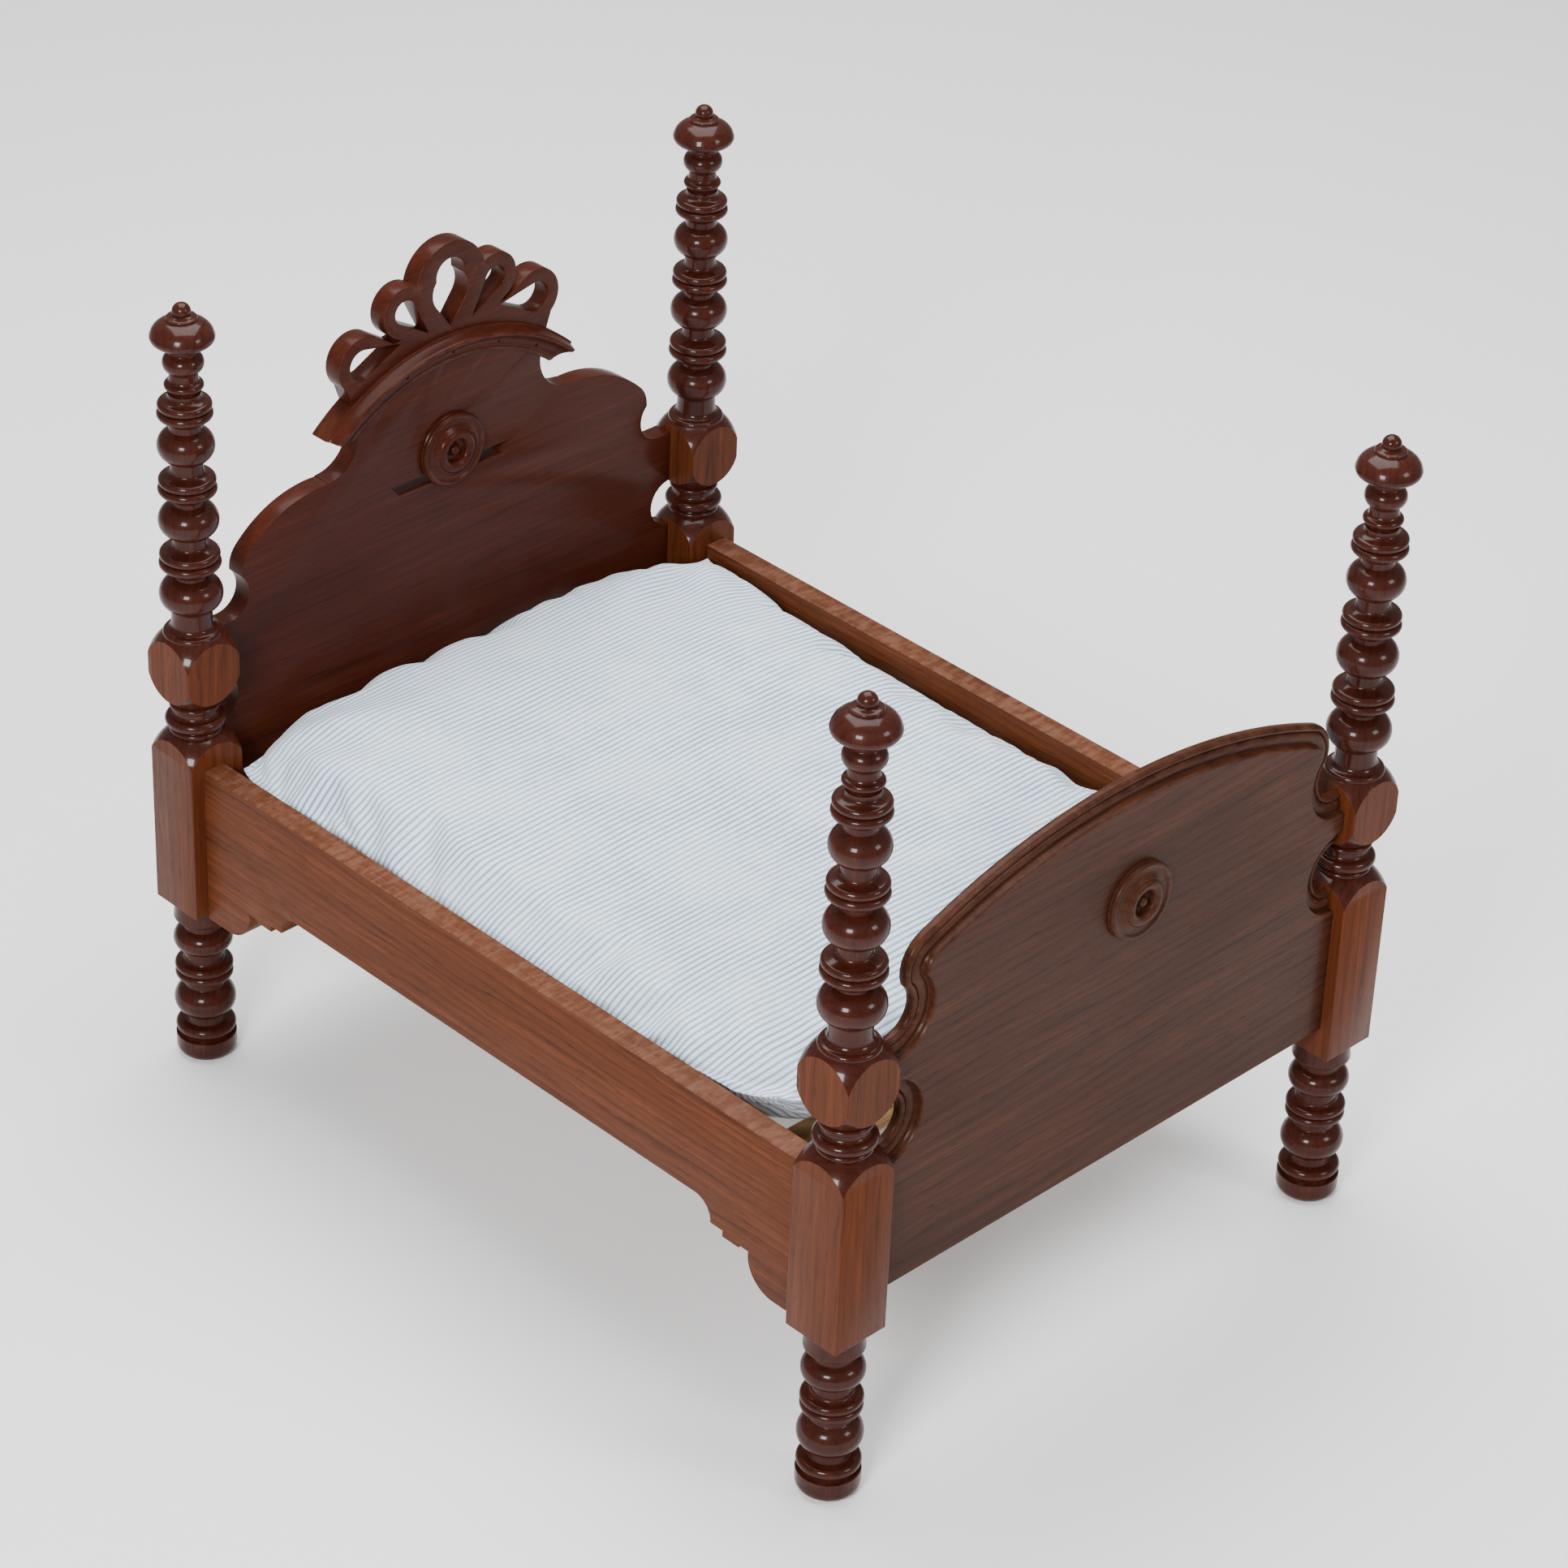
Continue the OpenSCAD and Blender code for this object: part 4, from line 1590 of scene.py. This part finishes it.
    def spread(self, t: float) -> float:
        """Spaces the grid closer towards the seam.

        Args:
            t: From 0 to 1.

        Returns:
            From -1 to 1.
        """
        s = 2 * t - 1
        return math.copysign(1 - (1 - abs(s)) ** 1.45, s)

    def lay_out(self, mesh: bpy.types.Mesh, index: GridIndex) -> None:
        """Writes the cloth's own measure, in metres, as a UV map.

        Args:
            mesh: The mesh of the bag.
            index: The point at each place of the two grids.
        """
        nu, nv = self.columns, self.rows
        layer = mesh.uv_layers.new(name="cloth")
        co = np.array([v.co for v in mesh.vertices])
        run: dict[tuple[int, int, int], tuple[float, float]] = {}
        for face in (0, 1):
            grid = np.array([[co[index[face, i, j]] for j in range(nv + 1)] for i in range(nu + 1)])
            du = np.linalg.norm(np.diff(grid, axis=0), axis=2)
            dv = np.linalg.norm(np.diff(grid, axis=1), axis=2)
            cu = np.vstack([np.zeros((1, nv + 1)), np.cumsum(du, axis=0)])
            cv = np.hstack([np.zeros((nu + 1, 1)), np.cumsum(dv, axis=1)])
            cv = cv.mean(axis=0, keepdims=True) + 0.5 * (cv - cv.mean(axis=0, keepdims=True))
            for i in range(nu + 1):
                for j in range(nv + 1):
                    run[face, i, j] = (float(cu[i, j]), float(cv[i, j]) + 0.0021 * face)
        for n, polygon in enumerate(mesh.polygons):
            face, cell = divmod(n, nu * nv)
            i, j = divmod(cell, nv)
            for loop, (a, b) in zip(polygon.loop_indices, self.corners(face, i, j)):
                layer.data[loop].uv = run[face, a, b]

    def plump(self, bag: bpy.types.Object, cap: float = 7.0 * MM) -> None:
        """Swells the bag as stuffing does, with the seam held, and puts the result in the mesh.

        Args:
            bag: The bag.
            cap: The most that a point may move.
        """
        rest = np.array([v.co for v in bag.data.vertices])
        take(bag)
        cloth = bag.modifiers.new("stuffing", "CLOTH")
        settings = cloth.settings
        settings.quality = 5
        settings.mass = 0.15
        settings.tension_stiffness = settings.compression_stiffness = 12
        settings.shear_stiffness = 4
        settings.bending_stiffness = 0.05
        settings.use_pressure = True
        settings.uniform_pressure_force = 4.0
        settings.shrink_min = -0.05
        settings.vertex_group_mass = "seam"
        settings.effector_weights.gravity = 0
        cloth.collision_settings.use_collision = False
        scene = bpy.context.scene
        for number in range(1, 21):
            scene.frame_set(number)
        bpy.context.view_layer.update()
        shown = bag.evaluated_get(bpy.context.evaluated_depsgraph_get())
        moved = np.array([v.co for v in shown.data.vertices]) - rest
        bag.modifiers.remove(cloth)
        scene.frame_set(1)
        length = np.linalg.norm(moved, axis=1, keepdims=True)
        moved *= np.minimum(1.0, cap / np.maximum(length, 1e-9))
        for vertex, place in zip(bag.data.vertices, rest + moved):
            vertex.co = place
        LOG.info("the stuffing moved the cloth by up to %.1f mm", float(length.max()) / MM)

    def hold_in(self, bag: bpy.types.Object) -> None:
        """Keeps the bag clear of the slats, rails, posts and headboard.

        Args:
            bag: The bag.
        """
        for vertex in bag.data.vertices:
            x, y, z = (c / MM for c in vertex.co)
            z = min(max(z, self.bottom), self.room_top)
            y = min(max(y, self.room_y[0]), self.room_y[1])
            limit = self.room_half_width - max(y - self.taper_from, 0.0) * self.taper
            x = min(max(x, -limit), limit)
            vertex.co = (x * MM, y * MM, z * MM)

    def build(self) -> None:
        """Makes and finishes the mattress."""
        bag = self.cloth()
        self.plump(bag)
        self.hold_in(bag)
        stand(bag)
        take(bag)
        rounding = bag.modifiers.new("smooth cloth", "SUBSURF")
        rounding.levels = rounding.render_levels = 1
        bpy.ops.object.modifier_apply(modifier=rounding.name)
        bpy.ops.object.shade_smooth()
        bag.vertex_groups.clear()
        bag.data.materials.append(Ticking().mix())
        hand_over(bag, "mattress", "ticking", "mattress")


# ---------------------------------------------------------------- studio


@dataclass
class Studio:
    """The floor, soft lights and camera."""

    camera_place: Place = (-2.10666, -2.09992, 2.22229)
    across: Place = (0.71765, -0.69552, 0.03495)
    upward: Place = (0.35708, 0.41059, 0.83900)
    backward: Place = (-0.59790, -0.58963, 0.54301)
    lens: float = 112.86

    def set_camera(self) -> None:
        """Places the camera."""
        data = bpy.data.cameras.new("camera")
        data.lens = self.lens
        data.sensor_width = 36.0
        camera = bpy.data.objects.new("camera", data)
        turned = Matrix((self.across, self.upward, self.backward)).transposed()
        camera.matrix_world = Matrix.Translation(self.camera_place) @ turned.to_4x4()
        bpy.context.scene.collection.objects.link(camera)
        bpy.context.scene.camera = camera

    def add_light(self, name: str, place: Place, side: float, power: float) -> None:
        """Adds a square softbox aimed at the bed.

        Args:
            name: Name of the light.
            place: Where it stands.
            side: Its width and height in metres.
            power: Its power in watts.
        """
        data = bpy.data.lights.new(name, "AREA")
        data.shape = "RECTANGLE"
        data.size = data.size_y = side
        data.energy = power
        light = bpy.data.objects.new(name, data)
        light.location = place
        aim = Vector((0, 0, 0.3)) - Vector(place)
        light.rotation_euler = aim.to_track_quat("-Z", "Y").to_euler()
        bpy.context.scene.collection.objects.link(light)

    def add_floor(self) -> None:
        """Adds the pale floor."""
        clear_selection()
        bpy.ops.mesh.primitive_plane_add(size=30, location=(0, 0, -0.0005))
        floor = bpy.context.object
        floor.name = floor.data.name = "pale_floor"
        settle(floor)
        recipe = Recipe("pale_paper")
        mottle = recipe.noise(recipe.place, 3.0, 3.0, 0.5)
        colour = recipe.blend(mottle, (0.9, 0.9, 0.905), (0.93, 0.93, 0.93))
        relief = recipe.raise_by(recipe.noise(recipe.place, 400.0, 2.0, 0.5), 0.05 * MM, 0.2)
        floor.data.materials.append(recipe.finish(colour, 0.9, relief, Specular_IOR_Level=0.1))

    def build(self) -> None:
        """Builds the whole studio."""
        self.set_camera()
        self.add_light("left_softbox", (-2.6, -1.25, 2.0), 0.9, 112)
        self.add_light("right_softbox", (0.95, -2.75, 2.0), 0.9, 32)
        self.add_light("overhead_softbox", (0.4, 0.6, 3.0), 2.6, 165)
        self.add_floor()
        world = bpy.data.worlds.new("studio")
        world.use_nodes = True
        background = world.node_tree.nodes["Background"]
        background.inputs["Color"].default_value = (1.0, 1.0, 1.0, 1.0)
        background.inputs["Strength"].default_value = 0.42
        bpy.context.scene.world = world


def main() -> None:
    """Builds the bed piece by piece."""
    logging.basicConfig(level=logging.INFO, format="%(name)s: %(message)s")
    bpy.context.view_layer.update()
    for part in (Studio(), TurnedPost(), Headboard(), Footboard(), SlattedBase(), Mattress()):
        LOG.info("building %s", type(part).__name__)
        part.build()
    clear_selection()


if __name__ == "__main__":
    main()
